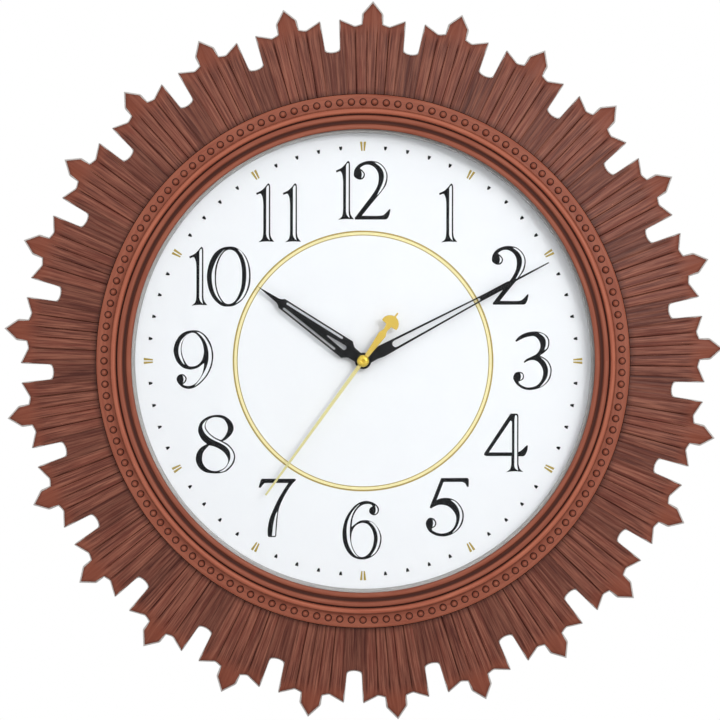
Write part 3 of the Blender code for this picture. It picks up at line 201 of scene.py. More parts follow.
# Dial printing: upright shaded numerals, minute wedges, and gilt marks and ring, silk-screened on the lacquer.
# Each numeral is drawn on a grid a hundred units high as closed lines: its outline, its counters and the white
# inline that runs down its heavy strokes. A point with a third value is a corner, and the others are curved.
NUMERALS = {"0": [
    [(37.3, 100.5), (50.2, 98.5), (64.2, 87.1), (72.1, 70.1), (74.6, 50.2), (72.1, 30.3), (62.2, 11.4),
     (48.3, 0.5), (36.3, -2), (24.4, 0), (11.4, 11.4), (3.5, 27.4), (0, 48.3), (3.5, 70.1), (12.4, 88.1),
     (24.4, 97.5)],
    [(39.3, 95), (48.3, 91.5), (55.2, 81.1), (59.2, 65.2), (59.7, 47.3), (58.2, 30.3), (52.2, 14.4), (45.3, 5.5),
     (36.3, 2.5), (28.4, 6.5), (20.4, 19.4), (16.4, 35.3), (15.9, 51.2), (18.4, 69.2), (24.4, 84.1), (31.3, 92.5)],
    [(30, 95.4, 1), (21.4, 86.1), (13.4, 71.1), (9, 57.2), (8.5, 43.3), (10.9, 28.4), (16.4, 15.4), (25.4, 5, 1),
     (18.2, 17.4), (13.8, 33.3), (12.9, 48.3), (13.8, 63.2), (17.2, 76.1), (22.6, 87.1)],
    [(53.2, 95.6, 1), (60.6, 86.1), (65.7, 73.1), (67.7, 57.2), (67.2, 41.3), (64.2, 26.4), (57.2, 12.4),
     (50.2, 4, 1), (60.6, 12.4), (67.8, 26.4), (71.2, 41.3), (71.6, 56.2), (69.2, 72.1), (64.2, 84.1),
     (58.2, 92.5)],
], "1": [
    [(0, 83.6, 1), (9, 88), (14.9, 93.5), (19.4, 99), (21.2, 100), (22.9, 98.2), (23.7, 94, 1), (23.7, 15.4, 1),
     (25.2, 7.5), (30.3, 0.4, 1), (15.9, 0.9), (4.5, -0.2, 1), (10, 4.5), (11.9, 11.4), (12.4, 20, 1),
     (12.4, 65.2, 1), (11.4, 75.1), (9, 81.4), (6.5, 82.9), (1, 80.9, 1)],
    [(20.7, 96.6), (18.9, 95.2), (17.5, 92, 1), (17.3, 13, 1), (18.9, 7.5), (22.9, 3, 1), (21.6, 8.5),
     (21.2, 15.4, 1), (21.4, 94, 1)],
], "2": [
    [(0.2, 77), (1.8, 85.5), (8.5, 94), (19.3, 99), (30.2, 100.2), (42.3, 97.6), (51.9, 89.7), (57, 79.5),
     (57.7, 71), (55, 59), (47.5, 48), (39, 37.6), (32.6, 30), (22.9, 18), (13.3, 6, 1), (45.9, 6), (54.3, 10),
     (60.8, 17, 1), (62.8, 17.3, 1), (61, 8.2), (57.6, 1.6), (54.3, 0.1, 1), (2.4, 0, 1), (1.6, 2.2, 1),
     (10.9, 14.3), (20.5, 26.9), (30.2, 39.6), (37.4, 50.5), (41.7, 60.1), (43.2, 71), (41.7, 80.7), (36.2, 89.1),
     (27.8, 93.7), (19.3, 93.7), (12.7, 90.3), (9.9, 87.3, 1), (14.4, 84.3), (18.7, 78.3), (17.5, 72.2),
     (13.3, 68.8), (7.2, 69.2), (1.8, 72.8)],
    [(36.5, 97.4, 1), (45.5, 90.4), (50.8, 82), (52, 72), (49.5, 61.4), (44.7, 50.5), (40.4, 42, 1), (48, 51.5),
     (53, 61), (55.6, 71.5), (54.8, 80.5), (50.4, 88.8), (43, 95.4)],
    [(13.3, 82.6, 1), (16.6, 78.3), (15.7, 73.8), (13, 71.4, 1), (14.2, 77)],
], "3": [
    [(4, 84.7, 1), (10.2, 91.7), (21, 97.6), (32.9, 100), (43.7, 99.8), (54.5, 95.5), (60.4, 89), (62, 81.4),
     (59.9, 71.7), (53.4, 64.7), (46.4, 60, 1), (46, 58.2, 1), (50.2, 56.8), (59.3, 50.2), (64.7, 40.5),
     (65.8, 31.8), (63.1, 20), (55.6, 10.2), (43.7, 3.2), (28.6, 0.2), (16.7, 2.5), (7, 9.2), (1.1, 17.8),
     (0.5, 22.7), (3.8, 29.1), (10.2, 31), (16.2, 29.1), (18.3, 23.7), (16.7, 18.3), (12, 15.8), (8.6, 14.6, 1),
     (12.4, 9.2), (21, 4.9), (29.7, 4.3), (40.5, 7.6), (48, 15.6), (51.2, 24.3), (51.8, 31.8), (49.1, 40.5),
     (42.6, 48.5), (34, 51.8), (25.4, 50.2), (19.4, 46.9, 1), (18.3, 48.2, 1), (23.2, 52.9), (32.9, 57.7),
     (40.5, 62), (45.8, 69.6), (47.1, 77.1), (44.2, 85.8), (38.3, 91.7), (31.8, 92.8), (21, 90.6), (12.4, 86.8),
     (5.4, 83.1, 1)],
    [(44, 98, 1), (51.4, 93), (55.6, 86.8), (56.4, 78.2), (53.9, 69, 1), (58, 72.5), (59.8, 80), (58.5, 88),
     (52.3, 95.2)],
    [(47.5, 55.8, 1), (54.5, 49.1), (59.3, 39.4), (60.1, 30.7), (57.9, 21), (51.8, 11.3), (46.4, 5.4, 1),
     (54.7, 11.6), (61, 21), (63.6, 31.8), (62.4, 40.5), (56.9, 49.9)],
    [(12.6, 29, 1), (16, 26.2), (15.9, 21), (12.6, 17.6, 1), (13.7, 23.2)],
], "4": [
    [(45.5, 99.8, 1), (55.6, 99.8), (58, 98.2), (58.8, 94.5, 1), (58.6, 33.8, 1), (63.6, 36.4), (69.6, 41.8),
     (73.4, 45.5, 1), (75, 44.9, 1), (73.7, 36.4), (69.8, 28.8), (66.1, 27.1, 1), (58.8, 27.1, 1), (58.8, 13.2, 1),
     (61.2, 5.2), (66.5, 0.3, 1), (50.9, 1.4), (38.8, 0, 1), (44.8, 4.7), (46.9, 12.3), (47.1, 20, 1),
     (47.1, 27.5, 1), (3.6, 27.5, 1), (0, 29.7, 1), (0.9, 32.4, 1)],
    [(45.5, 87.8, 1), (47.5, 86.4, 1), (47.5, 33.8, 1), (8.9, 33.8, 1)],
    [(53.4, 95.6), (55.2, 97.2), (56.4, 94.5, 1), (56.4, 12.3, 1), (58, 2.9, 1), (53.8, 6.1), (52.2, 10.5),
     (52.2, 16, 1), (52.5, 90, 1)],
], "5": [
    [(26.4, 99.8, 1), (71.4, 100, 1), (73.4, 97.6, 1), (73.1, 85.5, 1), (70.9, 84.9, 1), (67.6, 91),
     (62.6, 93.7, 1), (30.2, 93.7, 1), (17.8, 61.9, 1), (25.3, 64.8), (35.2, 65.7), (46.2, 63.5), (56, 56.4),
     (62.6, 45.9), (64.8, 36), (62.6, 22.9), (56, 12.4), (46.2, 4.7), (36.3, 0.9), (26.4, 0.1), (15.4, 2.5),
     (5.5, 9.1), (0.5, 18.5), (0.5, 25.1), (4.4, 30.5), (8.8, 31.6), (14.3, 29.5), (17.6, 23.4), (15.9, 17.4),
     (11.6, 14.6), (10, 13.8, 1), (9.8, 12.2, 1), (12.1, 9.1), (20.9, 5.3), (29.7, 4.7), (39.6, 7.5), (47.3, 14.1),
     (51.6, 24), (52.2, 32.7), (48.9, 41.5), (40.7, 50.3), (30.8, 54.2), (22, 54.2), (14.3, 51.4), (8.8, 48.1, 1),
     (6.6, 49.8, 1)],
    [(43, 62, 1), (50.7, 55.8), (56, 47), (58.4, 37.1), (57.3, 26.2), (53, 15.2), (45.6, 5.8, 1), (54.4, 13.7),
     (60, 24), (62.2, 34.9), (60.4, 45.7), (54.9, 54.7), (48.4, 60.6)],
    [(12, 28.2, 1), (15.3, 24), (14.4, 18.7), (11.6, 16.6, 1), (12.6, 21.8)],
], "6": [
    [(40.7, 100), (50.2, 98.1), (57.1, 94.2), (61.5, 89), (62.3, 83.8), (60.2, 78.6), (55.4, 76), (51.1, 76.5),
     (47.2, 79.5), (45.9, 83.4), (47.6, 88.1), (51.5, 90.6, 1), (51.1, 92.5), (47.6, 94.9), (40.7, 95.2),
     (33.8, 93.3), (26.8, 88.1), (20.8, 79.5), (16.9, 69.1), (15.4, 55.1, 1), (20.8, 59.6), (28.6, 65.2),
     (35.5, 66.9), (44.2, 66.5), (52.8, 62.6), (61.5, 52.6), (65.8, 42.3), (66.7, 34.5), (64.5, 22.3), (58, 11.1),
     (49.4, 4.2), (40.7, 0.7), (33.8, 0), (25.1, 1.1), (15.6, 5.9), (6.9, 16.3), (1.7, 29.3), (0.2, 43.1),
     (1.3, 55.2), (5.2, 69.1), (12.1, 81.2), (20.8, 91.6), (30.3, 97.8)],
    [(15.4, 39.7), (17.1, 48.3), (21.6, 56.1), (28.6, 60.9), (35.9, 62.2), (43.3, 59.6), (49.4, 52.6),
     (52.8, 43.1), (53.5, 33.6), (51.5, 22.3), (46.8, 12.8), (40.7, 6.8), (33.8, 4.3), (27.7, 5.9), (21.6, 12.8),
     (17.3, 22.3), (15.4, 31)],
    [(29.4, 94.6, 1), (21.6, 87.3), (14.3, 76.9), (9.3, 64.8), (7.4, 52.6), (7.6, 41.4), (9.3, 29.3), (13.7, 18),
     (19.5, 9.4), (26.4, 4, 1), (21, 10.2), (16.1, 19.7), (13, 32.7), (12.2, 44), (12.6, 57), (14.3, 69.1),
     (17.8, 79.5), (23, 88.1)],
    [(45.9, 64.6, 1), (52.6, 58.7), (57.8, 50), (60.2, 41.4), (60.4, 31.9), (57.3, 19.7), (52.1, 10.2),
     (48.7, 5.9, 1), (56.5, 12.1), (61.5, 21.5), (64.2, 31.9), (64, 40.5), (61.3, 50), (56.3, 58.5), (50.2, 63.5)],
    [(56.5, 92, 1), (59.3, 88.1), (59.9, 83), (58.2, 79.4), (55.6, 78.2, 1), (57.3, 83.8)],
], "7": [
    [(5.9, 99.6, 1), (62.7, 99.6, 1), (64.2, 97.8, 1), (56.1, 89.2), (46.2, 74), (38.2, 57.9), (34.3, 46),
     (32.1, 29.2), (30.1, 2.3, 1), (28.7, 0, 1), (17.6, 0, 1), (16.1, 2.3, 1), (16.1, 14.9), (19.4, 31),
     (27.4, 50.7), (37.3, 70.4), (51.6, 92.8, 1), (14, 92.8), (8.6, 91), (3.2, 84.4, 1), (0.5, 85.1, 1),
     (2.3, 91.9), (4.1, 97.3)],
    [(32.2, 43.5, 1), (30, 29.2), (28.2, 2, 1), (23.4, 2, 1), (25.4, 20.3), (28.6, 35)],
], "8": [
    [(36, 100), (49, 97.9), (60.3, 89.2), (64.7, 77.9), (61.2, 67.5), (52.5, 58.8), (45.2, 54.8, 1), (54.6, 50.1),
     (63.8, 39.7), (67.3, 29.2), (64.7, 17), (54.3, 4.9), (42.1, 0.6), (29.9, 0), (16, 2.3), (5.6, 10.1),
     (0.3, 22.3), (2.1, 34.4), (9, 44), (19.5, 50.1, 1), (10.8, 57.9), (5.6, 67.5), (4.3, 76.2), (9, 88.3),
     (21.2, 97)],
    [(37.7, 95.7), (47.3, 92.7), (53.4, 84), (54.3, 74.4), (49.9, 64), (43.4, 57.4, 1), (34.2, 61.2), (25, 67.9),
     (18.4, 76.2), (17.2, 84), (21.2, 91.4), (29.9, 95.5)],
    [(23, 47.5, 1), (33.4, 44.9), (45.6, 37.9), (53, 29.2), (55.1, 20.5), (50.2, 10.7), (40.3, 5.3), (29.9, 4.3),
     (19.5, 8.3), (12.5, 17), (11.1, 27.5), (14.3, 37.9)],
    [(18.5, 91.6, 1), (12.4, 84), (11.9, 77), (17, 67.5), (26.6, 59.3), (40.3, 52.8), (50.6, 46.9), (57.3, 39.5),
     (59.6, 31), (58.1, 20.5), (51, 8.9), (41, 2.4, 1), (49.8, 4.9), (59.7, 14.2), (64.4, 24), (64.6, 31.8),
     (60.9, 40.3), (53, 48.1), (42.6, 54.2), (32.1, 59.4), (22.3, 67), (15.9, 75.7), (15, 83.5)],
], "9": [
    [(33.8, 100), (43.6, 98.7), (54.4, 91.6), (63.1, 78.6), (67.2, 64.5), (67.8, 53.7), (65.3, 38.5), (58.8, 24.4),
     (50.1, 13.6), (40.3, 4.9), (31.7, 0.8), (24.1, 0), (15.4, 2.7), (8.4, 9.2), (5.4, 15.7), (7.3, 21.7),
     (12.1, 24.6), (17.6, 23.9), (21.9, 19), (21.4, 13.6), (18.2, 9.4), (16.2, 8.6, 1), (16, 7, 1), (18.7, 5.4),
     (25.2, 4.3), (32.8, 6), (40.3, 11.4), (47.9, 22.2), (51.7, 34.2), (52.7, 43.6, 1), (51, 43.6, 1), (49, 41.8),
     (41.4, 36.3), (32.8, 33.6), (26.2, 33.3), (15.4, 36.9), (5.6, 47.2), (0.8, 60.2), (0.4, 68.9), (3.5, 79.7),
     (11.1, 91.6), (21.9, 98.2)],
    [(33.3, 95.8), (40.3, 92.2), (47.9, 81.9), (51.2, 70), (51.4, 60.2), (47.9, 48.3), (40.3, 40.7), (31.1, 38.5),
     (24.1, 40.7), (17.6, 51.5), (14.3, 63.4), (14.3, 73.2), (18.1, 85.1), (25.2, 93.3)],
    [(24.8, 94.6, 1), (14.2, 84), (9.6, 73.2), (8.6, 62.4), (11, 52.6), (14.8, 45.6), (18.4, 42, 1), (15.4, 49.8),
     (12.7, 59.1), (12, 68.9), (13.6, 78.6), (18.2, 87.2)],
    [(40.3, 97.2, 1), (48.1, 90.4), (55.5, 79.7), (59.5, 66.7), (60.3, 53.7), (58.4, 41.8), (53, 28.7),
     (45.1, 15.7), (36.4, 4.7, 1), (46.2, 12.7), (54.6, 22.4), (61, 34.4), (64.6, 47.2), (65.1, 58), (63.4, 69.8),
     (58.6, 80.6), (52.3, 90), (45.8, 95.4)],
    [(15.9, 22.4, 1), (19.5, 19), (19.5, 14.8), (16.6, 10.8, 1), (17.4, 16.8)],
]}
# Left end of the foot or bowl and baseline of each numeral on the dial, in mm from the hands' axis
NUMERAL_PLACES = {
    "12": (-14.2, 74.5), "1": (40.1, 62.6), "2": (67.8, 29.7), "3": (79, -15.3), "4": (63.7, -58.4),
    "5": (33.1, -92.3), "6": (-10.8, -104.4), "7": (-55, -92.6), "8": (-88, -59.1), "9": (-99.7, -14.6),
    "10": (-91.4, 29.3), "11": (-56.2, 62.7),
}
NUMERAL_GRID = 0.3065
NUMERAL_ADVANCE = {"10": 30.3, "11": 45.9, "12": 30.4}
DIAL_FRONT = 22.8
INK, INK_LIFT, INK_GAIN = 0.03, 0.01, 0.09


def rounded(points, cuts=6):
    """A closed line through the points, curved everywhere but at the corners."""
    count = len(points)
    line = []
    for k in range(count):
        before, here, after, beyond = (points[(k + step) % count] for step in (-1, 0, 1, 2))
        if len(here) > 2:
            before = here
        if len(after) > 2:
            beyond = after
        straight = len(here) > 2 and len(after) > 2
        for cut in range(1 if straight else cuts):
            t = cut / cuts
            weights = (
                -t + 2 * t ** 2 - t ** 3, 2 - 5 * t ** 2 + 3 * t ** 3,
                t + 4 * t ** 2 - 3 * t ** 3, t ** 3 - t ** 2,
            )
            line.append(tuple(
                sum(w * p[axis] for w, p in zip(weights, (before, here, after, beyond))) / 2 for axis in (0, 1)
            ))
    return line


def swell(line, gain):
    """Moves a closed line outward by some mm, as ink spreads, or inward by a negative gain."""
    count = len(line)
    area = sum(line[k - 1][0] * line[k][1] - line[k][0] * line[k - 1][1] for k in range(count))
    moved = []
    for k in range(count):
        (ax, ay), (bx, by), (cx, cy) = line[k - 1], line[k], line[(k + 1) % count]
        before, after = math.hypot(bx - ax, by - ay), math.hypot(cx - bx, cy - by)
        ux, uy, vx, vy = (bx - ax) / before, (by - ay) / before, (cx - bx) / after, (cy - by) / after
        step = math.copysign(gain, area) / max(1 + ux * vx + uy * vy, 0.2)
        moved.append((bx + (uy + vy) * step, by - (ux + vx) * step))
    return moved


def settled(made):
    """An object's mesh with lines filled and modifiers applied."""
    bpy.context.view_layer.update()
    return bpy.data.meshes.new_from_object(made.evaluated_get(bpy.context.evaluated_depsgraph_get()))


def printed(name, loops, ink):
    """A flat print on the dial, inside closed lines given in mm: outlines with their openings."""
    drawing = bpy.data.curves.new(name, "CURVE")
    drawing.dimensions = "2D"
    drawing.fill_mode = "BOTH"
    drawing.extrude = INK / 2
    for loop in loops:
        line = drawing.splines.new("POLY")
        line.points.add(len(loop) - 1)
        for point, (x, y) in zip(line.points, loop):
            point.co = (x, y, 0, 1)
        line.use_cyclic_u = True
    sketch = placed(name + "_lines", drawing)
    mesh = settled(sketch)
    bpy.data.objects.remove(sketch, do_unlink=True)
    bpy.data.curves.remove(drawing)
    welded = bmesh.new()
    welded.from_mesh(mesh)
    bmesh.ops.remove_doubles(welded, verts=welded.verts, dist=0.0001)
    # Both flat faces are turned outward, and then every side wall to agree with the flat face it meets
    welded.normal_update()
    flats = {face for face in welded.faces if abs(face.normal.z) > 0.5}
    for face in flats:
        if face.normal.z * face.calc_center_median().z < 0:
            face.normal_flip()
    for face in set(welded.faces) - flats:
        meeting = [loop for loop in face.loops if loop.link_loop_radial_next.face in flats]
        if meeting and meeting[0].link_loop_radial_next.vert == meeting[0].vert:
            face.normal_flip()
    bmesh.ops.translate(welded, verts=welded.verts, vec=(0, 0, DIAL_FRONT + INK / 2 + INK_LIFT))
    welded.to_mesh(mesh)
    welded.free()
    mesh.transform(bench_to_wall)
    mesh.name = name
    mesh.materials.clear()
    mesh.materials.append(ink)
    made = placed(name, mesh)
    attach(made, "case")


def clock_point(radius, turn, aside=0.0):
    """A dial point at a radius and an angle clockwise from twelve, in degrees, moved aside by some mm."""
    angle = math.radians(turn)
    sine, cosine = math.sin(angle), math.cos(angle)
    return radius * sine + aside * cosine, radius * cosine - aside * sine


# Screen ink dries to a soft satin film; the 0.15 mm grain of its mesh is drawn at 0.33 mm so that it shows
black_ink, tree, shader = material("black_screen_ink", Roughness=0.5, IOR=1.5, Specular_IOR_Level=0.1)
mottled(shader, 3000, 1, "0C0C0E", "17171A")
numeral_loops = []
for text, (left, foot) in NUMERAL_PLACES.items():
    for k, digit in enumerate(text):
        start = left + k * NUMERAL_ADVANCE.get(text, 0) * NUMERAL_GRID
        for part, loop in enumerate(NUMERALS[digit]):
            line = [(start + x * NUMERAL_GRID, foot + y * NUMERAL_GRID) for x, y in rounded(loop)]
            numeral_loops.append(swell(line, -INK_GAIN if part else INK_GAIN))
printed("dial_numerals", numeral_loops, black_ink)
WEDGE = ((113.4, -0.9), (113.4, 0.9), (112.2, 0.68), (111.4, 0.3), (111.4, -0.3), (112.2, -0.68))
wedges = [
    [clock_point(radius, minute * 6, aside) for radius, aside in WEDGE] for minute in range(60) if minute % 5
]
printed("dial_minute_wedges", wedges, black_ink)

# Gilt ink: brass flakes in varnish, olive where it is thick and pale where a thin coat lies between two lines.
# The flakes are far finer than a pixel, and are drawn at about 0.45 mm so that they show
gilt_ink, tree, shader = material("gilt_screen_ink", Roughness=0.45, IOR=1.5, Metallic=0.25)
mottled(shader, 2200, 2, "94802F", "B59C46")
pale_gilt, tree, shader = material("pale_gilt_ink", Roughness=0.4, IOR=1.5)
mottled(shader, 2200, 2, "EFE2A0", "F8EDBE")
STROKE = ((115.4, 0.32), (115.4, 1.62), (110.6, 1.0), (110.6, 0.24))
strokes = [
    [clock_point(radius, hour * 30, side * aside) for radius, aside in STROKE]
    for hour in range(12) for side in (-1, 1)
]
printed("dial_hour_strokes", strokes, gilt_ink)
RING_CUTS = 240
GILT_RADII = (66.0, 66.45, 67.8, 68.6)
rings = [[clock_point(radius, k * 360 / RING_CUTS) for k in range(RING_CUTS)] for radius in GILT_RADII]
printed("dial_gilt_lines", rings, gilt_ink)
printed("dial_gilt_fill", rings[1:3], pale_gilt)


# Spacer ring: the pale grey wall that stands on the dial and carries the glass.
# Moulded polystyrene with a matt texture of about 0.5 mm; loose in the case until the bezel clamps it.
spacer_styrene, tree, shader = material("grey_polystyrene", Roughness=0.5, IOR=1.59)
mottled(shader, 250, 2, "9C9896", "ACA8A6")
grained(shader, 2000, 0.2, 0.00008)
spacer_profile = [
    (119.9, 23.1, 0.3), (119.9, 24.0, 0.1), (120.2, 33.0), (120.4, 33.4), (120.8, 33.6), (127.0, 33.6),
    (127.0, 23.1),
]
spacer = piece("dial_spacer_wall", lathe(spacer_profile, 240), [spacer_styrene], "case")
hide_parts("dial_spacer_ring")


# Glass: a flat disc of 2.3 mm float glass, clamped between the spacer and the bezel's lip.
# Clear, with only a breath of gloss, as under a flagged studio lamp; lamps shine through it onto the dial.
float_glass, tree, shader = material(
    "clear_float_glass", Base_Color=linear("FDFEFE"), Roughness=0.0, IOR=1.45, Transmission_Weight=1.0,
    Specular_Tint=linear("505050"),
)
lamp = node(tree, "LightPath", {})
clear = node(tree, "BsdfTransparent", {"Color": linear("FDFEFE")})
through = node(tree, "MixShader", {0: lamp.outputs["Is Shadow Ray"], 1: shader, 2: clear})
connect(through, tree.nodes["Material Output"].inputs["Surface"])
wear(float_glass, "glass_lens")


# Bezel: a moulded ring with a round lip over the glass, a deep cove, two reeds and a band of raised beads.
# Red-brown ABS with a wood-toned lacquer; its grooves, creases and the feet of its reeds and beads are darker,
# partly lacquer gathered there and partly painted shade. Screwed on from behind.
BEAD_COUNT, BEAD_RING, BEAD_RADIUS, BEAD_HEIGHT = 140, 136.1, 1.6, 1.4
BAND_FRONT = 32.65


def reed(inner, width, base, rise, tone, cuts=10):
    """A half-round moulding of the bezel, with painted shade darkening its two feet."""
    turns = [math.pi * (1 - k / cuts) for k in range(cuts + 1)]
    return [
        (inner + width / 2 * (1 + math.cos(a)), base + rise * math.sin(a), tone + 0.55 * (1 - math.sin(a)) ** 2)
        for a in turns
    ]


bezel_profile = [
    (121.6, 36.5), *reed(121.6, 2.9, 37.0, 1.0, 0.3), (124.7, 36.85, 0.8), (125.1, 36.74, 0.9),
    (125.6, 36.72, 0.95), (126.1, 36.8, 0.9), (126.35, 37.0, 0.7), *reed(126.4, 2.7, 37.0, 1.03, 0.3),
    (129.2, 36.2, 0.9), (129.5, 35.9, 1.0), (129.8, 36.0, 0.9), *reed(129.9, 2.7, 36.0, 1.15, 0.0),
    (132.65, 35.0, 0.25), (132.75, 33.9, 0.4), (132.9, 33.2, 0.5), (133.2, 32.8, 0.35), (133.7, BAND_FRONT, 0.27),
    (138.6, BAND_FRONT, 0.27), (139.3, 32.6, 0.27), (139.8, 32.4, 0.3), (140.1, 32.0, 0.1), (140.2, 31.4, 0.5),
    (140.2, 27.0, 0.3), (127.6, 27.0), (127.6, 36.5),
]
points, faces, recess, grain = lathe(bezel_profile, 240)
# One bead, as shares of its radius and height, with painted shade: a dark ring round its foot, and the dome darker
# toward its foot than at its crown
bead_profile = [
    (1.3, -0.3, 0.2), (1.28, 0.02, 0.3), (1.2, 0.05, 1.0), (1.04, 0.04, 1.0), (0.97, 0.2, 0.85),
    (0.94, 0.36, 0.55),
    *[(math.sin(math.radians(a)), math.cos(math.radians(a)), 0.18 + a / 200) for a in (62, 46, 30, 15)],
    (0.0, 1.0, 0.18), (0.0, -0.3, 0.0),
]
bead = lathe([(r * BEAD_RADIUS, z * BEAD_HEIGHT, deep) for r, z, deep in reversed(bead_profile)], 14)
for k in range(BEAD_COUNT):
    turn = 2 * math.pi * k / BEAD_COUNT
    right, up = BEAD_RING * math.cos(turn), BEAD_RING * math.sin(turn)
    first = len(points)
    points += [(right + x, up + y, BAND_FRONT + z) for x, y, z in bead[0]]
    faces += [[first + corner for corner in face] for face in bead[1]]
    recess += bead[2]
    grain += [(u + right, v + up) for u, v in bead[3]]


def streaked(tree, first, second, detail, roughness=0.5):
    """Noise on the grain map, with so many streaks per mm along the map's first and second ways."""
    grain_map = node(tree, "UVMap", {}, uv_map="grain")
    stretch = node(tree, "VectorMath", {0: grain_map, 1: (first, second, 1)}, operation="MULTIPLY")
    return node(tree, "TexNoise", {"Vector": stretch, "Scale": 1.0, "Detail": detail, "Roughness": roughness})


bezel_lacquer, tree, shader = material("wood_toned_bezel_lacquer", IOR=1.5, Specular_IOR_Level=0.22)
# Brushed-on tone: streaks about 25 mm long and 1.5 mm wide that follow the moulding
streak = streaked(tree, 0.04, 0.65, 4, 0.6)
tone = node(tree, "MapRange", {0: streak, 1: 0.3, 2: 0.7})
depth = node(tree, "Attribute", {}, attribute_name="recess").outputs["Fac"]
open_tint = node(tree, "Mix", {0: tone, 6: linear("A3553F"), 7: linear("BE7056")}, data_type="RGBA")
# Recess values darken toward near-black: lacquer gathered in the grooves, painted shade in the grooves, creases
# and at the feet of reeds and beads, and a slightly darker band
gathered_lacquer_and_shade = node(tree, "Mix", {0: depth, 6: open_tint, 7: linear("300C05")}, data_type="RGBA")
dull = node(tree, "MapRange", {0: depth, 3: 0.36, 4: 0.6})
ripple = node(tree, "Bump", {"Strength": 0.08, "Distance": 0.0001, "Height": streak})
feed(shader, Base_Color=gathered_lacquer_and_shade, Roughness=dull, Normal=ripple)
shape = (points, faces, recess, grain)
bezel = piece("bezel_moulding", shape, [bezel_lacquer], "case", 50)
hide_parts("bezel_ring")


# Sunburst ring: twenty-five fluted rays, each with a spear point between two horns and a notch on either side.
# ABS moulded in one piece, hollow behind, with a printed wood grain that runs out along the rays; the grooves are
# darker, partly from a wash of stain and partly painted shade, the feet by the bezel carry painted shade, the
# front edges are darker, and the drafted edges show the paler bare plastic. Screwed on from behind.
RAYS = 25
FIRST_RAY = math.radians(1.6)
BORE, RING_BACK = 140.5, 12.0
POCKET_IN, POCKET_OUT, POCKET_TURN, POCKET_SKIN = 148.0, 171.5, 4.1, 3.9
EDGE_DRAFT, EDGE_ROUND, MITRE = 0.9, 0.35, 2.4
FACE_HEIGHT, FACE_FALL, FACE_REACH = 29.5, 9.5, 190.0
# Radii over which the flutes fade and the ridge of a spear rises; its height, and its spread in degrees
FLUTES_FADE, RIDGE_RISE, RIDGE, RIDGE_SPREAD = (171.5, 177.5), (172, 180), 0.5, 0.9
# Painted shade at the rays' feet by the bezel and the radius where it ends, and the darkening along the rays'
# front edges
FOOT_SHADE, FOOT_REACH, EDGE_DARKENING = 0.5, 143.5, 0.4
# Radius at which the grain has its true width
GRAIN_RADIUS = 165.0
# Half a ray, from its spear to the middle of the notch: degrees from the middle line, and the edge's radius
HALF_RAY = [
    (0.0, 189.95), (0.2, 189.2), (0.4, 188.4), (0.6, 187.6), (0.78, 186.9), (0.88, 186.5), (0.98, 186.15),
    (1.1, 185.7), (1.2, 185.3), (1.35, 184.75), (1.5, 184.2), (1.65, 183.65), (1.75, 183.1), (1.8, 182.3),
    (1.825, 180.1), (1.85, 178.0), (2.0, 177.75), (2.3, 177.45), (2.6, 177.15), (2.82, 177.0), (2.95, 176.95),
    (3.1, 177.0), (3.3, 177.3), (3.5, 177.6), (4.0, 178.35), (4.1, 178.5), (4.4, 178.95), (4.7, 179.4),
    (4.9, 179.7), (5.02, 179.9), (5.15, 180.1), (5.4, 180.5), (5.55, 180.55), (5.64, 179.7), (5.7, 176.0),
    (5.76, 171.5), (5.82, 167.5), (5.87, 165.6), (5.95, 164.9), (6.05, 164.5), (6.15, 164.3), (6.28, 164.1),
    (6.7, 163.75), (7.05, 163.65), (7.2, 163.6),
]
# Height of the flutes across half a ray: degrees from the middle line, and mm above the plain slope
FLUTES = [
    (0.0, 0.0), (0.4, 0.04), (0.78, -0.04), (0.88, -0.45), (0.98, 0.28), (1.2, 0.42), (1.9, 0.5), (2.6, 0.42),
    (2.82, 0.28), (2.95, -0.45), (3.1, -0.02), (3.5, 0.1), (4.1, 0.12), (4.7, 0.06), (4.9, -0.04), (5.02, -0.5),
    (5.15, -0.36), (5.55, -0.32), (6.05, -0.36), (6.15, -0.46), (6.28, -0.36), (6.7, -0.28), (7.05, -0.34),
    (7.2, -0.44),
]
# Share of darkening in the same places: partly a wash of stain, partly painted shade in the grooves
STAIN_AND_SHADE = [
    (0.0, 0.0), (0.78, 0.04), (0.88, 0.32), (0.98, 0.06), (1.2, 0.0), (2.6, 0.0), (2.82, 0.1), (2.95, 0.75),
    (3.1, 0.1), (3.5, 0.02), (4.7, 0.05), (4.9, 0.12), (5.02, 0.45), (5.15, 0.32), (5.55, 0.26), (6.05, 0.28),
    (6.15, 0.34), (6.28, 0.28), (6.7, 0.22), (7.05, 0.26), (7.2, 0.32),
]
ROWS = (0.0, 0.012, 0.03, 0.08, 0.15, 0.25, 0.36, 0.47, 0.58, 0.68, 0.76, 0.83, 0.89, 0.94, 0.975, 1.0)


def between(table, at):
    """Value at a place in a table of (place, value) pairs, in straight steps."""
    for (low, first), (high, last) in zip(table, table[1:]):
        if at <= high:
            return first + (last - first) * (at - low) / (high - low)
    return table[-1][1]


def ease(low, high, value):
    """A smooth step from 0 at low to 1 at high."""
    share = min(max((value - low) / (high - low), 0.0), 1.0)
    return share * share * (3 - 2 * share)


def slope(radius):
    """Height of the plain sloping face of the rays."""
    return FACE_HEIGHT - FACE_FALL * (radius - BORE) / (FACE_REACH - BORE)


def spoke(radius, turn, height):
    """A point at a radius and an angle clockwise from twelve, in radians."""
    return (radius * math.sin(turn), radius * math.cos(turn), height)


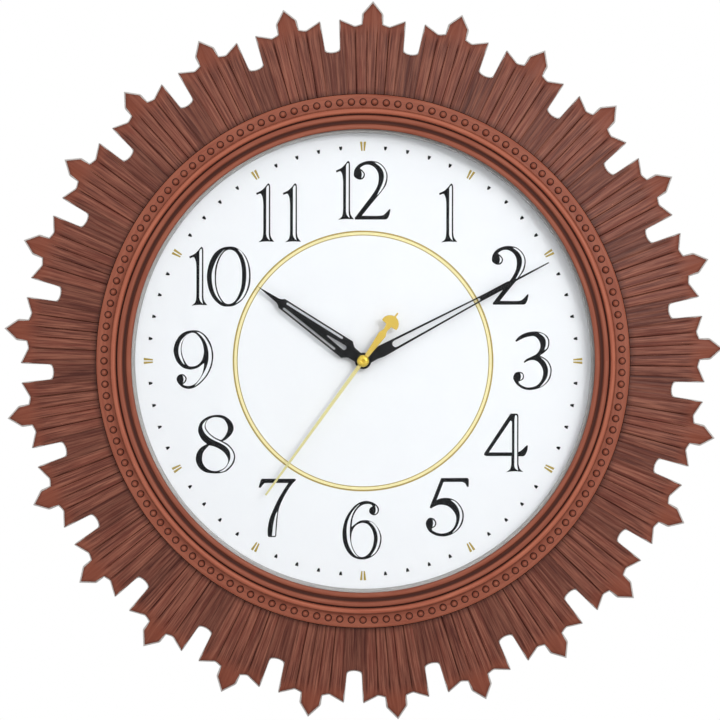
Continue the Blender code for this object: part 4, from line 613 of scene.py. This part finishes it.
columns = []
for ray in range(RAYS):
    middle = FIRST_RAY + ray * 2 * math.pi / RAYS
    columns += [(middle - math.radians(a), r, a) for a, r in reversed(HALF_RAY[1:-1])]
    columns += [(middle + math.radians(a), r, a) for a, r in HALF_RAY]
count = len(columns)
outline = [Vector(spoke(r, turn, 0)) for turn, r, a in columns]
points, faces, recess, grain, which = [], [], [], [], []
front, back, floor = [], [], []
for k, (turn, edge, off) in enumerate(columns):
    ahead = (outline[(k + 1) % count] - outline[k]).normalized()
    behind = (outline[k] - outline[k - 1]).normalized()
    along = (ahead + behind).normalized()
    inward = Vector((along.y, -along.x, 0))
    lip = outline[k] + inward * min(EDGE_DRAFT / max(along.dot(ahead), 0.3), MITRE)
    lip_radius, lip_turn = lip.length, math.atan2(lip.x, lip.y)
    swing = math.remainder(lip_turn - turn, 2 * math.pi)
    column = []
    for share in ROWS:
        radius = BORE + (lip_radius - BORE) * share
        bend = turn + swing * ease(0.8, 1.0, share)
        fade = 1 - ease(*FLUTES_FADE, radius)
        flute = between(FLUTES, off) * fade
        crown = RIDGE * ease(*RIDGE_RISE, radius) * math.exp(-(off / RIDGE_SPREAD) ** 2)
        height = slope(radius) + flute + crown - EDGE_ROUND * ease(0.975, 1.0, share)
        column.append(len(points))
        points.append(spoke(radius, bend, height))
        # Painted shade near the bore, groove darkening of stain and painted shade, and darker front edges
        foot = FOOT_SHADE * (1 - ease(BORE, FOOT_REACH, radius))
        recess.append(max(between(STAIN_AND_SHADE, off) * fade, foot, EDGE_DARKENING * ease(0.96, 1.0, share)))
    front.append(column)
    far = min(POCKET_OUT, edge - 1.0)
    back.append([len(points) + step for step in range(4)])
    points += [spoke(radius, turn, RING_BACK) for radius in (BORE, POCKET_IN, far)]
    points.append(tuple(outline[k] + Vector((0, 0, RING_BACK))))
    recess += [0.3, 0.1, 0.1, 0.0]
    floor.append([len(points), len(points) + 1])
    if off <= POCKET_TURN:
        points += [spoke(radius, turn, slope(radius) - POCKET_SKIN) for radius in (POCKET_IN, POCKET_OUT)]
        recess += [0.6, 0.6]
for k in range(count):
    after = (k + 1) % count
    # Place in the grain: mm across the rays and along them
    here = columns[k][0] * GRAIN_RADIUS
    there = here + math.remainder(columns[after][0] - columns[k][0], 2 * math.pi) * GRAIN_RADIUS
    for row in range(len(ROWS) - 1):
        low, high = (BORE + (columns[k][1] - BORE) * ROWS[row + step] for step in (0, 1))
        faces.append([front[k][row], front[after][row], front[after][row + 1], front[k][row + 1]])
        grain += [(here, low), (there, low), (there, high), (here, high)]
    hollow = max(columns[k][2], columns[after][2]) <= POCKET_TURN
    walls = [
        [front[k][-1], front[after][-1], back[after][3], back[k][3]],
        [back[k][0], back[after][0], front[after][0], front[k][0]],
    ]
    for row in (0, 2) if hollow else (0, 1, 2):
        walls.append([back[k][row + 1], back[after][row + 1], back[after][row], back[k][row]])
    if hollow:
        walls += [
            [floor[k][1], floor[after][1], floor[after][0], floor[k][0]],
            [floor[k][0], floor[after][0], back[after][1], back[k][1]],
            [back[k][2], back[after][2], floor[after][1], floor[k][1]],
        ]
        for end, order in ((k, 1), (after, -1)):
            if columns[end][2] == POCKET_TURN:
                walls.append([back[end][1], back[end][2], floor[end][1], floor[end][0]][::order])
    faces += walls
    grain += [(here, 0.0), (there, 0.0), (there, RING_BACK), (here, RING_BACK)] * len(walls)
    which += [0] * (len(ROWS) - 1) + [1] * len(walls)
used = sorted({corner for face in faces for corner in face})
fresh = {corner: k for k, corner in enumerate(used)}
points = [points[corner] for corner in used]
recess = [recess[corner] for corner in used]
faces = [[fresh[corner] for corner in face] for face in faces]

ring_film, tree, shader = material("printed_wood_grain_abs", Roughness=0.42, IOR=1.5, Specular_IOR_Level=0.2)
# Grain printed along the rays: boards of tone about 9 mm wide, streaks 1.2 mm wide and pores 0.35 mm wide
streak = streaked(tree, 0.85, 0.03, 4, 0.65)
board_tone = node(tree, "MapRange", {0: streaked(tree, 0.11, 0.012, 2), 1: 0.35, 2: 0.65})
streak_tone = node(tree, "MapRange", {0: streak, 1: 0.4, 2: 0.66})
pore_tone = node(tree, "MapRange", {0: streaked(tree, 2.8, 0.05, 2), 1: 0.5, 2: 0.68, 4: 0.75})
# The smooth points beyond the flutes keep the plain red-brown ground of the print
way = node(tree, "SeparateXYZ", {0: node(tree, "UVMap", {}, uv_map="grain")})
point_share = node(tree, "MapRange", {0: way.outputs[1], 1: 171, 2: 179, 4: 0.7})
depth = node(tree, "Attribute", {}, attribute_name="recess").outputs["Fac"]
# Coats of colour in turn: boards, streaks, pores and plain points of the print, then the recess values: stain and
# painted shade in the grooves, painted shade at the feet, and darker front edges
grain_stain_and_shade = linear("582920")
for share, code in (
    (board_tone, "7C4032"), (streak_tone, "A06551"), (pore_tone, "471F18"), (point_share, "864531"),
    (depth, "2A0D09"),
):
    grain_stain_and_shade = node(tree, "Mix", {0: share, 6: grain_stain_and_shade, 7: linear(code)}, data_type="RGBA")
relief = node(tree, "Bump", {"Strength": 0.25, "Distance": 0.00015, "Height": streak})
feed(shader, Base_Color=grain_stain_and_shade, Normal=relief)
# Bare plastic of the edges and the back: matt, with flow marks about 7 mm wide
bare_abs, tree, shader = material("bare_drafted_abs", Roughness=0.5, IOR=1.53)
mottled(shader, 150, 2, "B3AAA4", "C4BCB7")
grained(shader, 1600, 0.12, 0.0001)
shape = (points, faces, recess, grain)
rays = piece("sunburst_rays", shape, [ring_film, bare_abs], "case", 45, which)
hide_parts("sunburst_ring")


# Hands: stamped aluminium sheet; hour and minute hands stove-enamelled satin black, second hand gold anodised.
# Pushed onto the pipes and the arbor of the movement, with a turned cap over the end of the arbor.
# Stove enamel: a satin skin with a faint mottle of about 1 mm
black_enamel, tree, shader = material("satin_black_enamel", Roughness=0.4, IOR=1.5, Specular_IOR_Level=0.12)
mottled(shader, 900, 2, "0B0B0C", "18181B")
gold_anodised, tree, shader = material("gold_anodised_aluminium", Metallic=0.6)
place = node(tree, "TexCoord", {})
# Rolling lines of the sheet, drawn about 0.4 mm apart so that they show
rolled = node(tree, "Mapping", {"Vector": place.outputs["Object"], "Scale": (2500, 2500, 60)})
rolling = node(tree, "TexNoise", {"Vector": rolled, "Scale": 1.0, "Detail": 2})
# Painted reflection: the long thin pointer is paler than the tail, as if it caught the white around it; metres
# along the hand, toward its tip
along = node(tree, "VectorMath", {0: place.outputs["Object"], 1: (-0.585, 0, -0.811)}, operation="DOT_PRODUCT")
painted_sheen_toward_tip = node(tree, "MapRange", {0: along.outputs["Value"], 1: 0.074, 2: 0.092})
sheet = node(tree, "Mix", {0: rolling, 6: linear("C2A23E"), 7: linear("D4B658")}, data_type="RGBA")
tint = node(tree, "Mix", {0: painted_sheen_toward_tip, 6: sheet, 7: linear("CFC78E")}, data_type="RGBA")
rough = node(tree, "MapRange", {0: rolling, 3: 0.32, 4: 0.46})
feed(shader, Base_Color=tint, Roughness=rough)
wear(black_enamel, "hour_hand", "minute_hand")
wear(gold_anodised, "second_hand")
# Turned brass: bright, with faint marks of the tool, drawn at about 0.7 mm so that they show
cap_brass, tree, shader = material("turned_brass", Metallic=1.0)
tooling = mottled(shader, 1500, 2, "D9B63C", "EACF62")
feed(shader, Roughness=node(tree, "MapRange", {0: tooling, 3: 0.2, 4: 0.34}))
cap_profile = [
    (0.0, 31.95), (0.35, 31.98), (0.6, 32.2), (0.8, 32.45), (1.1, 32.58), (1.7, 32.5), (2.4, 32.25), (2.85, 31.95),
    (3.1, 31.65), (3.15, 31.4), (3.1, 31.3), (0.0, 31.3),
]
cap = piece("second_hand_button", lathe(cap_profile, 48), [cap_brass], "second_hand")
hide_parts("second_hand_cap")


# Rear cover, movement case and setting knob: black polystyrene with a spark-eroded matt texture.
# The cover is screwed to the case; the movement sits in its window and is held to the dial by two nuts.
black_styrene, tree, shader = material("black_textured_styrene", IOR=1.59)
cloud = mottled(shader, 60, 3, "161617", "242426")
# Eroded pits about 0.7 mm across
place = node(tree, "TexCoord", {})
pits = node(tree, "TexVoronoi", {"Vector": place.outputs["Object"], "Scale": 1400})
dimple = node(tree, "Bump", {"Strength": 0.35, "Distance": 0.0001, "Height": pits.outputs["Distance"]})
rough = node(tree, "MapRange", {0: cloud, 3: 0.45, 4: 0.62})
feed(shader, Normal=dimple, Roughness=rough)
wear(black_styrene, "rear_cover", "movement_front_case", "movement_rear_case", "setting_knob")
# Stiffening beads moulded on the cover's rear face: one round its edge, one round the movement's window
BEAD_SECTION = (
    (-1.3, 0.0), (-1.1, 0.35), (-0.6, 0.62), (0.0, 0.7), (0.6, 0.62), (1.1, 0.35), (1.3, 0.0), (0.0, -0.2),
)
COVER_REAR = 1.2
EDGE_BEAD_RADIUS = 119.0
WINDOW_MARGIN, WINDOW_CORNER = 3.5, 2.0


def bench_middle(low, high):
    """Middle of a solid's box, in mm right and up on the bench."""
    return (low.x + high.x) * 500, (low.z + high.z) * 500 + HOOK_HEIGHT


edge_bead = [(EDGE_BEAD_RADIUS + aside, COVER_REAR - rise) for aside, rise in BEAD_SECTION]
piece("rear_cover_edge_bead", lathe(edge_bead[::-1], 200), [black_styrene], "case")
low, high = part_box("movement_rear_case")
middle = bench_middle(low, high)
reach = ((high.x - low.x) * 500 + WINDOW_MARGIN, (high.z - low.z) * 500 + WINDOW_MARGIN)
points, faces, grain, loop = [], [], [], []
for corner, (side, up) in enumerate(((1, 1), (-1, 1), (-1, -1), (1, -1))):
    for step in range(7):
        turn = math.radians(90 * corner + 15 * step)
        loop.append((side * (reach[0] - WINDOW_CORNER), up * (reach[1] - WINDOW_CORNER), turn))
for x, y, turn in loop:
    for aside, rise in BEAD_SECTION:
        out = WINDOW_CORNER + aside
        across, up = out * math.cos(turn), out * math.sin(turn)
        points.append((middle[0] + x + across, middle[1] + y + up, COVER_REAR - rise))
lines = len(BEAD_SECTION)
for k in range(len(loop)):
    after = (k + 1) % len(loop)
    for row in range(lines):
        beside = (row + 1) % lines
        faces.append([k * lines + row, after * lines + row, after * lines + beside, k * lines + beside])
        grain += [(k, row), (k + 1, row), (k + 1, row + 1), (k, row + 1)]
shape = (points, faces, [0.0] * len(points), grain)
piece("movement_window_bead", shape, [black_styrene], "case")
# Polarity marks raised on the movement's rear face above the ends of the cell
MARK_THICK, MARK_ROW, MARK_REST = 0.5, -12.2, 4.95


def add_bar(mesh, wide, tall, deep):
    """Adds a bar round the origin to a mesh, and gives its corners."""
    corners = bmesh.ops.create_cube(mesh, size=1.0)["verts"]
    bmesh.ops.scale(mesh, vec=(wide, tall, deep), verts=corners)
    return corners


marks = bmesh.new()
for x, wide, tall in ((20.0, 4.0, 1.0), (20.0, 1.0, 4.0), (-20.0, 4.0, 1.0)):
    bar = add_bar(marks, wide, tall, MARK_THICK)
    bmesh.ops.translate(marks, vec=(x, MARK_ROW, MARK_REST), verts=bar)
bmesh.ops.bevel(marks, geom=marks.edges[:], offset=0.15, segments=2, affect="EDGES")
mark_mesh = bpy.data.meshes.new("movement_polarity_marks")
marks.to_mesh(mark_mesh)
marks.free()
mark_mesh.transform(bench_to_wall)
mark_mesh.materials.append(black_styrene)
polarity = placed("movement_polarity_marks", mark_mesh)
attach(polarity, "case")


# Hanger, screws, rivets and nuts: mild steel with bright zinc plate, stamped or cold-headed.
# Zinc shows a faint spangle of crystals about 2.5 mm across, dulled by scuffs of about 1.4 mm.
zinc, tree, shader = material("bright_zinc_plate", Metallic=1.0)
place = node(tree, "TexCoord", {})
spangle = node(tree, "TexVoronoi", {"Vector": place.outputs["Object"], "Scale": 400})
crystal = spangle.outputs["Distance"]
tint = node(tree, "Mix", {0: crystal, 6: linear("B4B6B8"), 7: linear("D2D3D4")}, data_type="RGBA")
scuff = node(tree, "TexNoise", {"Vector": place.outputs["Object"], "Scale": 700, "Detail": 3})
rough = node(tree, "MapRange", {0: scuff, 3: 0.25, 4: 0.45})
feed(shader, Base_Color=tint, Roughness=rough)
wear(zinc, "hanger_plate", "dial_foot_1", "dial_foot_2", "foot_nut_1", "foot_nut_2")
wear(zinc, "quartz_crystal", "coil_core", "stator_plate")
# Screws keep their solids' places: a domed head with a cross recess, and a shank up into its boss
HEAD_GAIN, THIN_HEAD, THICK_HEAD = 1.03, 0.8, 2.0
cross = bmesh.new()
add_bar(cross, 3.4, 0.75, 1.3)
add_bar(cross, 0.75, 3.4, 1.4)
fasteners = [name for name in nodes if "_screw_" in name or "hanger_rivet" in name]
for name in fasteners:
    low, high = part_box(name)
    x, y = bench_middle(low, high)
    rear, end = -high.y * 1000, -low.y * 1000
    head = (high.x - low.x) * 500 * HEAD_GAIN
    tall = THIN_HEAD if "cover" in name or "rivet" in name else THICK_HEAD
    profile = [
        (0.0, end), (1.1, end), (1.4, end - 0.4), (1.4, rear + tall, 0.4), (head * 0.94, rear + tall),
        (head * 0.97, rear + tall * 0.8), (head * 0.93, rear + tall * 0.4), (head * 0.8, rear + tall * 0.12),
        (head * 0.62, rear), (0.0, rear),
    ]
    points, faces, recess, grain = lathe(profile, 24)
    points = [(px + x, py + y, pz) for px, py, pz in points]
    made = piece(name + "_zinc", (points, faces, recess, grain), [zinc], "case")
    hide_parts(name)
    if "rivet" in name:
        continue
    bit = bpy.data.meshes.new(name + "_bit")
    cross.to_mesh(bit)
    bit.transform(bench_to_wall @ Matrix.Translation((x, y, rear)) @ Matrix.Rotation(0.4 * x + 0.3, 4, "Z"))
    cutter = placed(name + "_bit", bit)
    recess_cut = made.modifiers.new("cross_recess", "BOOLEAN")
    recess_cut.operation = "DIFFERENCE"
    recess_cut.solver = "EXACT"
    recess_cut.use_self = True
    recess_cut.object = cutter
    cut = settled(made)
    made.modifiers.clear()
    made.data = cut
    bpy.data.objects.remove(cutter, do_unlink=True)
    welded = bmesh.new()
    welded.from_mesh(cut)
    bmesh.ops.remove_doubles(welded, verts=welded.verts, dist=2e-6)
    bmesh.ops.dissolve_degenerate(welded, edges=welded.edges, dist=1e-6)
    welded.to_mesh(cut)
    welded.free()
cross.free()


# Cell: one round dry cell in the bay, a steel can in a printed film, with a pressed nub at its positive end.
# The film is plain: a dark body and a copper-coloured band, glossy, shrunk over the can's rolled edges.
low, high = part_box("battery_cell")
cell_y, cell_z = bench_middle(low, high)[1], -(low.y + high.y) * 500
half = (high.x - low.x) * 500
can = [
    (0.0, half), (2.3, half), (2.6, half - 0.3), (2.6, half - 1.3), (2.9, half - 1.6), (5.4, half - 1.6),
    (5.7, half - 1.5, 1.0), (6.5, half - 1.5, 1.0), (6.9, half - 1.8, 1.0), (7.0, half - 2.3, 1.0),
    (7.0, half - 14.0, 1.0), (7.0, half - 14.05, 0.5), (7.0, 0.8 - half, 0.5), (6.9, 0.4 - half, 0.5),
    (6.5, 0.1 - half, 0.5), (5.9, 0.1 - half), (5.6, 0.3 - half), (3.5, 0.3 - half), (3.2, -half), (0.0, -half),
]
points, faces, recess, grain = lathe(can, 48)
points = [(pz, py + cell_y, -px + cell_z) for px, py, pz in points]
cell_film, tree, shader = material("printed_cell_film", Roughness=0.3, IOR=1.5)
band = node(tree, "Attribute", {}, attribute_name="recess").outputs["Fac"]
copper_band = node(tree, "Math", {0: band, 1: 0.75}, operation="GREATER_THAN")
bare_can = node(tree, "Math", {0: band, 1: 0.25}, operation="LESS_THAN")
# Scuffs of the film, about 2 mm across
place = node(tree, "TexCoord", {})
scuff = node(tree, "TexNoise", {"Vector": place.outputs["Object"], "Scale": 500, "Detail": 3})
film = node(tree, "Mix", {0: scuff, 6: linear("14161C"), 7: linear("20232C")}, data_type="RGBA")
banded = node(tree, "Mix", {0: copper_band, 6: film, 7: linear("B0733A")}, data_type="RGBA")
ends = node(tree, "Mix", {0: bare_can, 6: banded, 7: linear("C4C5C6")}, data_type="RGBA")
feed(shader, Base_Color=ends, Metallic=bare_can)
cell = piece("battery_can", (points, faces, recess, grain), [cell_film], "case")
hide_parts("battery_cell")


# Works inside the movement: natural acetal wheels, brass bush, pinion and contacts, copper winding on its bobbin,
# green laminate board and a grey sintered magnet. All keep their solids; moulded, turned, wound or pressed.
# Each finish: its solids, two tones, mottle per metre (3 mm in acetal, 0.4 mm in wire), roughness and metallic
works = (
    ("natural_acetal", ("coil_bobbin", "intermediate_wheel", "seconds_wheel", "third_wheel", "centre_wheel",
                        "minute_wheel", "hour_wheel"), "D8D4C6", "E8E5DA", 300, 0.45, 0.0),
    ("bright_brass", ("centre_bush", "cannon_pinion", "battery_contact_positive", "battery_contact_negative"),
     "B98F3E", "D6B25E", 900, 0.28, 1.0),
    ("enamelled_copper_wire", ("coil_winding",), "8E4526", "B5643A", 2500, 0.32, 1.0),
    ("green_board_laminate", ("circuit_board",), "1E4A2C", "2C6139", 1200, 0.42, 0.0),
    ("sintered_magnet", ("rotor",), "4A4A4D", "626266", 1800, 0.55, 0.7),
)
for name, members, dark, light, fineness, roughness, metallic in works:
    finish, tree, shader = material(name, Roughness=roughness, Metallic=metallic)
    grit = mottled(shader, fineness, 3, dark, light)
    feed(shader, Normal=node(tree, "Bump", {"Strength": 0.15, "Distance": 0.00005, "Height": grit}))
    wear(finish, *members)


# Studio: a small pale floor well below the clock, white surroundings, a key lamp in front to the right, a large
# softbox above, and a camera straight in front, far off, that frames the rays as the photograph does.
FLOOR_RADIUS, FLOOR_HEIGHT = 0.34, -0.335
PLAIN_LEVEL = 0.7
floor_paint, tree, shader = material("pale_floor_paint", Roughness=0.8)
mottled(shader, 40, 3, "E9E9EA", "EFEFF0")
disc = bmesh.new()
bmesh.ops.create_circle(disc, cap_ends=True, segments=96, radius=FLOOR_RADIUS)
floor_mesh = bpy.data.meshes.new("studio_floor")
disc.to_mesh(floor_mesh)
disc.free()
floor_mesh.materials.append(floor_paint)
studio_floor = placed("studio_floor", floor_mesh)
studio_floor.location = (0, 0, FLOOR_HEIGHT)

world = bpy.data.worlds.new("white_studio")
bpy.context.scene.world = world
world.use_nodes = True
tree = world.node_tree
glow = tree.nodes["Background"]
path = node(tree, "LightPath", {}).outputs
seen = node(tree, "Math", {0: path["Is Camera Ray"], 1: path["Is Glossy Ray"]}, operation="MAXIMUM")
shown = node(tree, "Math", {0: seen, 1: path["Is Transmission Ray"]}, operation="MAXIMUM")
# Light that reaches the dial through the glass stays at the plain level: white only before a diffuse bounce
direct = node(tree, "Math", {0: path["Diffuse Depth"], 1: 0.5}, operation="LESS_THAN")
white = node(tree, "Math", {0: shown, 1: direct}, operation="MULTIPLY")
level = node(tree, "MapRange", {0: white, 3: PLAIN_LEVEL, 4: 1.0})
feed(glow, Color=linear("FFFFFF"), Strength=level)
for name, place_at, size, power in (
    ("key_lamp", (0.68, -1.65, 0.32), 0.3, 5.7),
    ("top_softbox", (-0.1, -1.75, 0.85), 1.3, 4.4),
):
    lamp = bpy.data.lights.new(name, "AREA")
    lamp.size = size
    lamp.energy = power
    lamp_object = placed(name, lamp)
    lamp_object.location = place_at
    aim = Vector((0, 0, -HOOK_HEIGHT / 1000)) - Vector(place_at)
    lamp_object.rotation_euler = aim.to_track_quat("-Z", "Y").to_euler()
    lamp_object.visible_transmission = False

VIEW_WIDTH, VIEW_DISTANCE = 0.3788, 5.0
VIEW_ASIDE, VIEW_HEIGHT, FACE_AHEAD = -0.0016, -0.0995, 0.025
lens = bpy.data.cameras.new("front_view")
lens.sensor_width = 36.0
lens.lens = lens.sensor_width * VIEW_DISTANCE / VIEW_WIDTH
camera = placed("front_view", lens)
camera.location = (VIEW_ASIDE, -FACE_AHEAD - VIEW_DISTANCE, VIEW_HEIGHT)
camera.rotation_euler = (math.pi / 2, 0, 0)
bpy.context.scene.camera = camera
bpy.context.scene.view_settings.view_transform = "Standard"
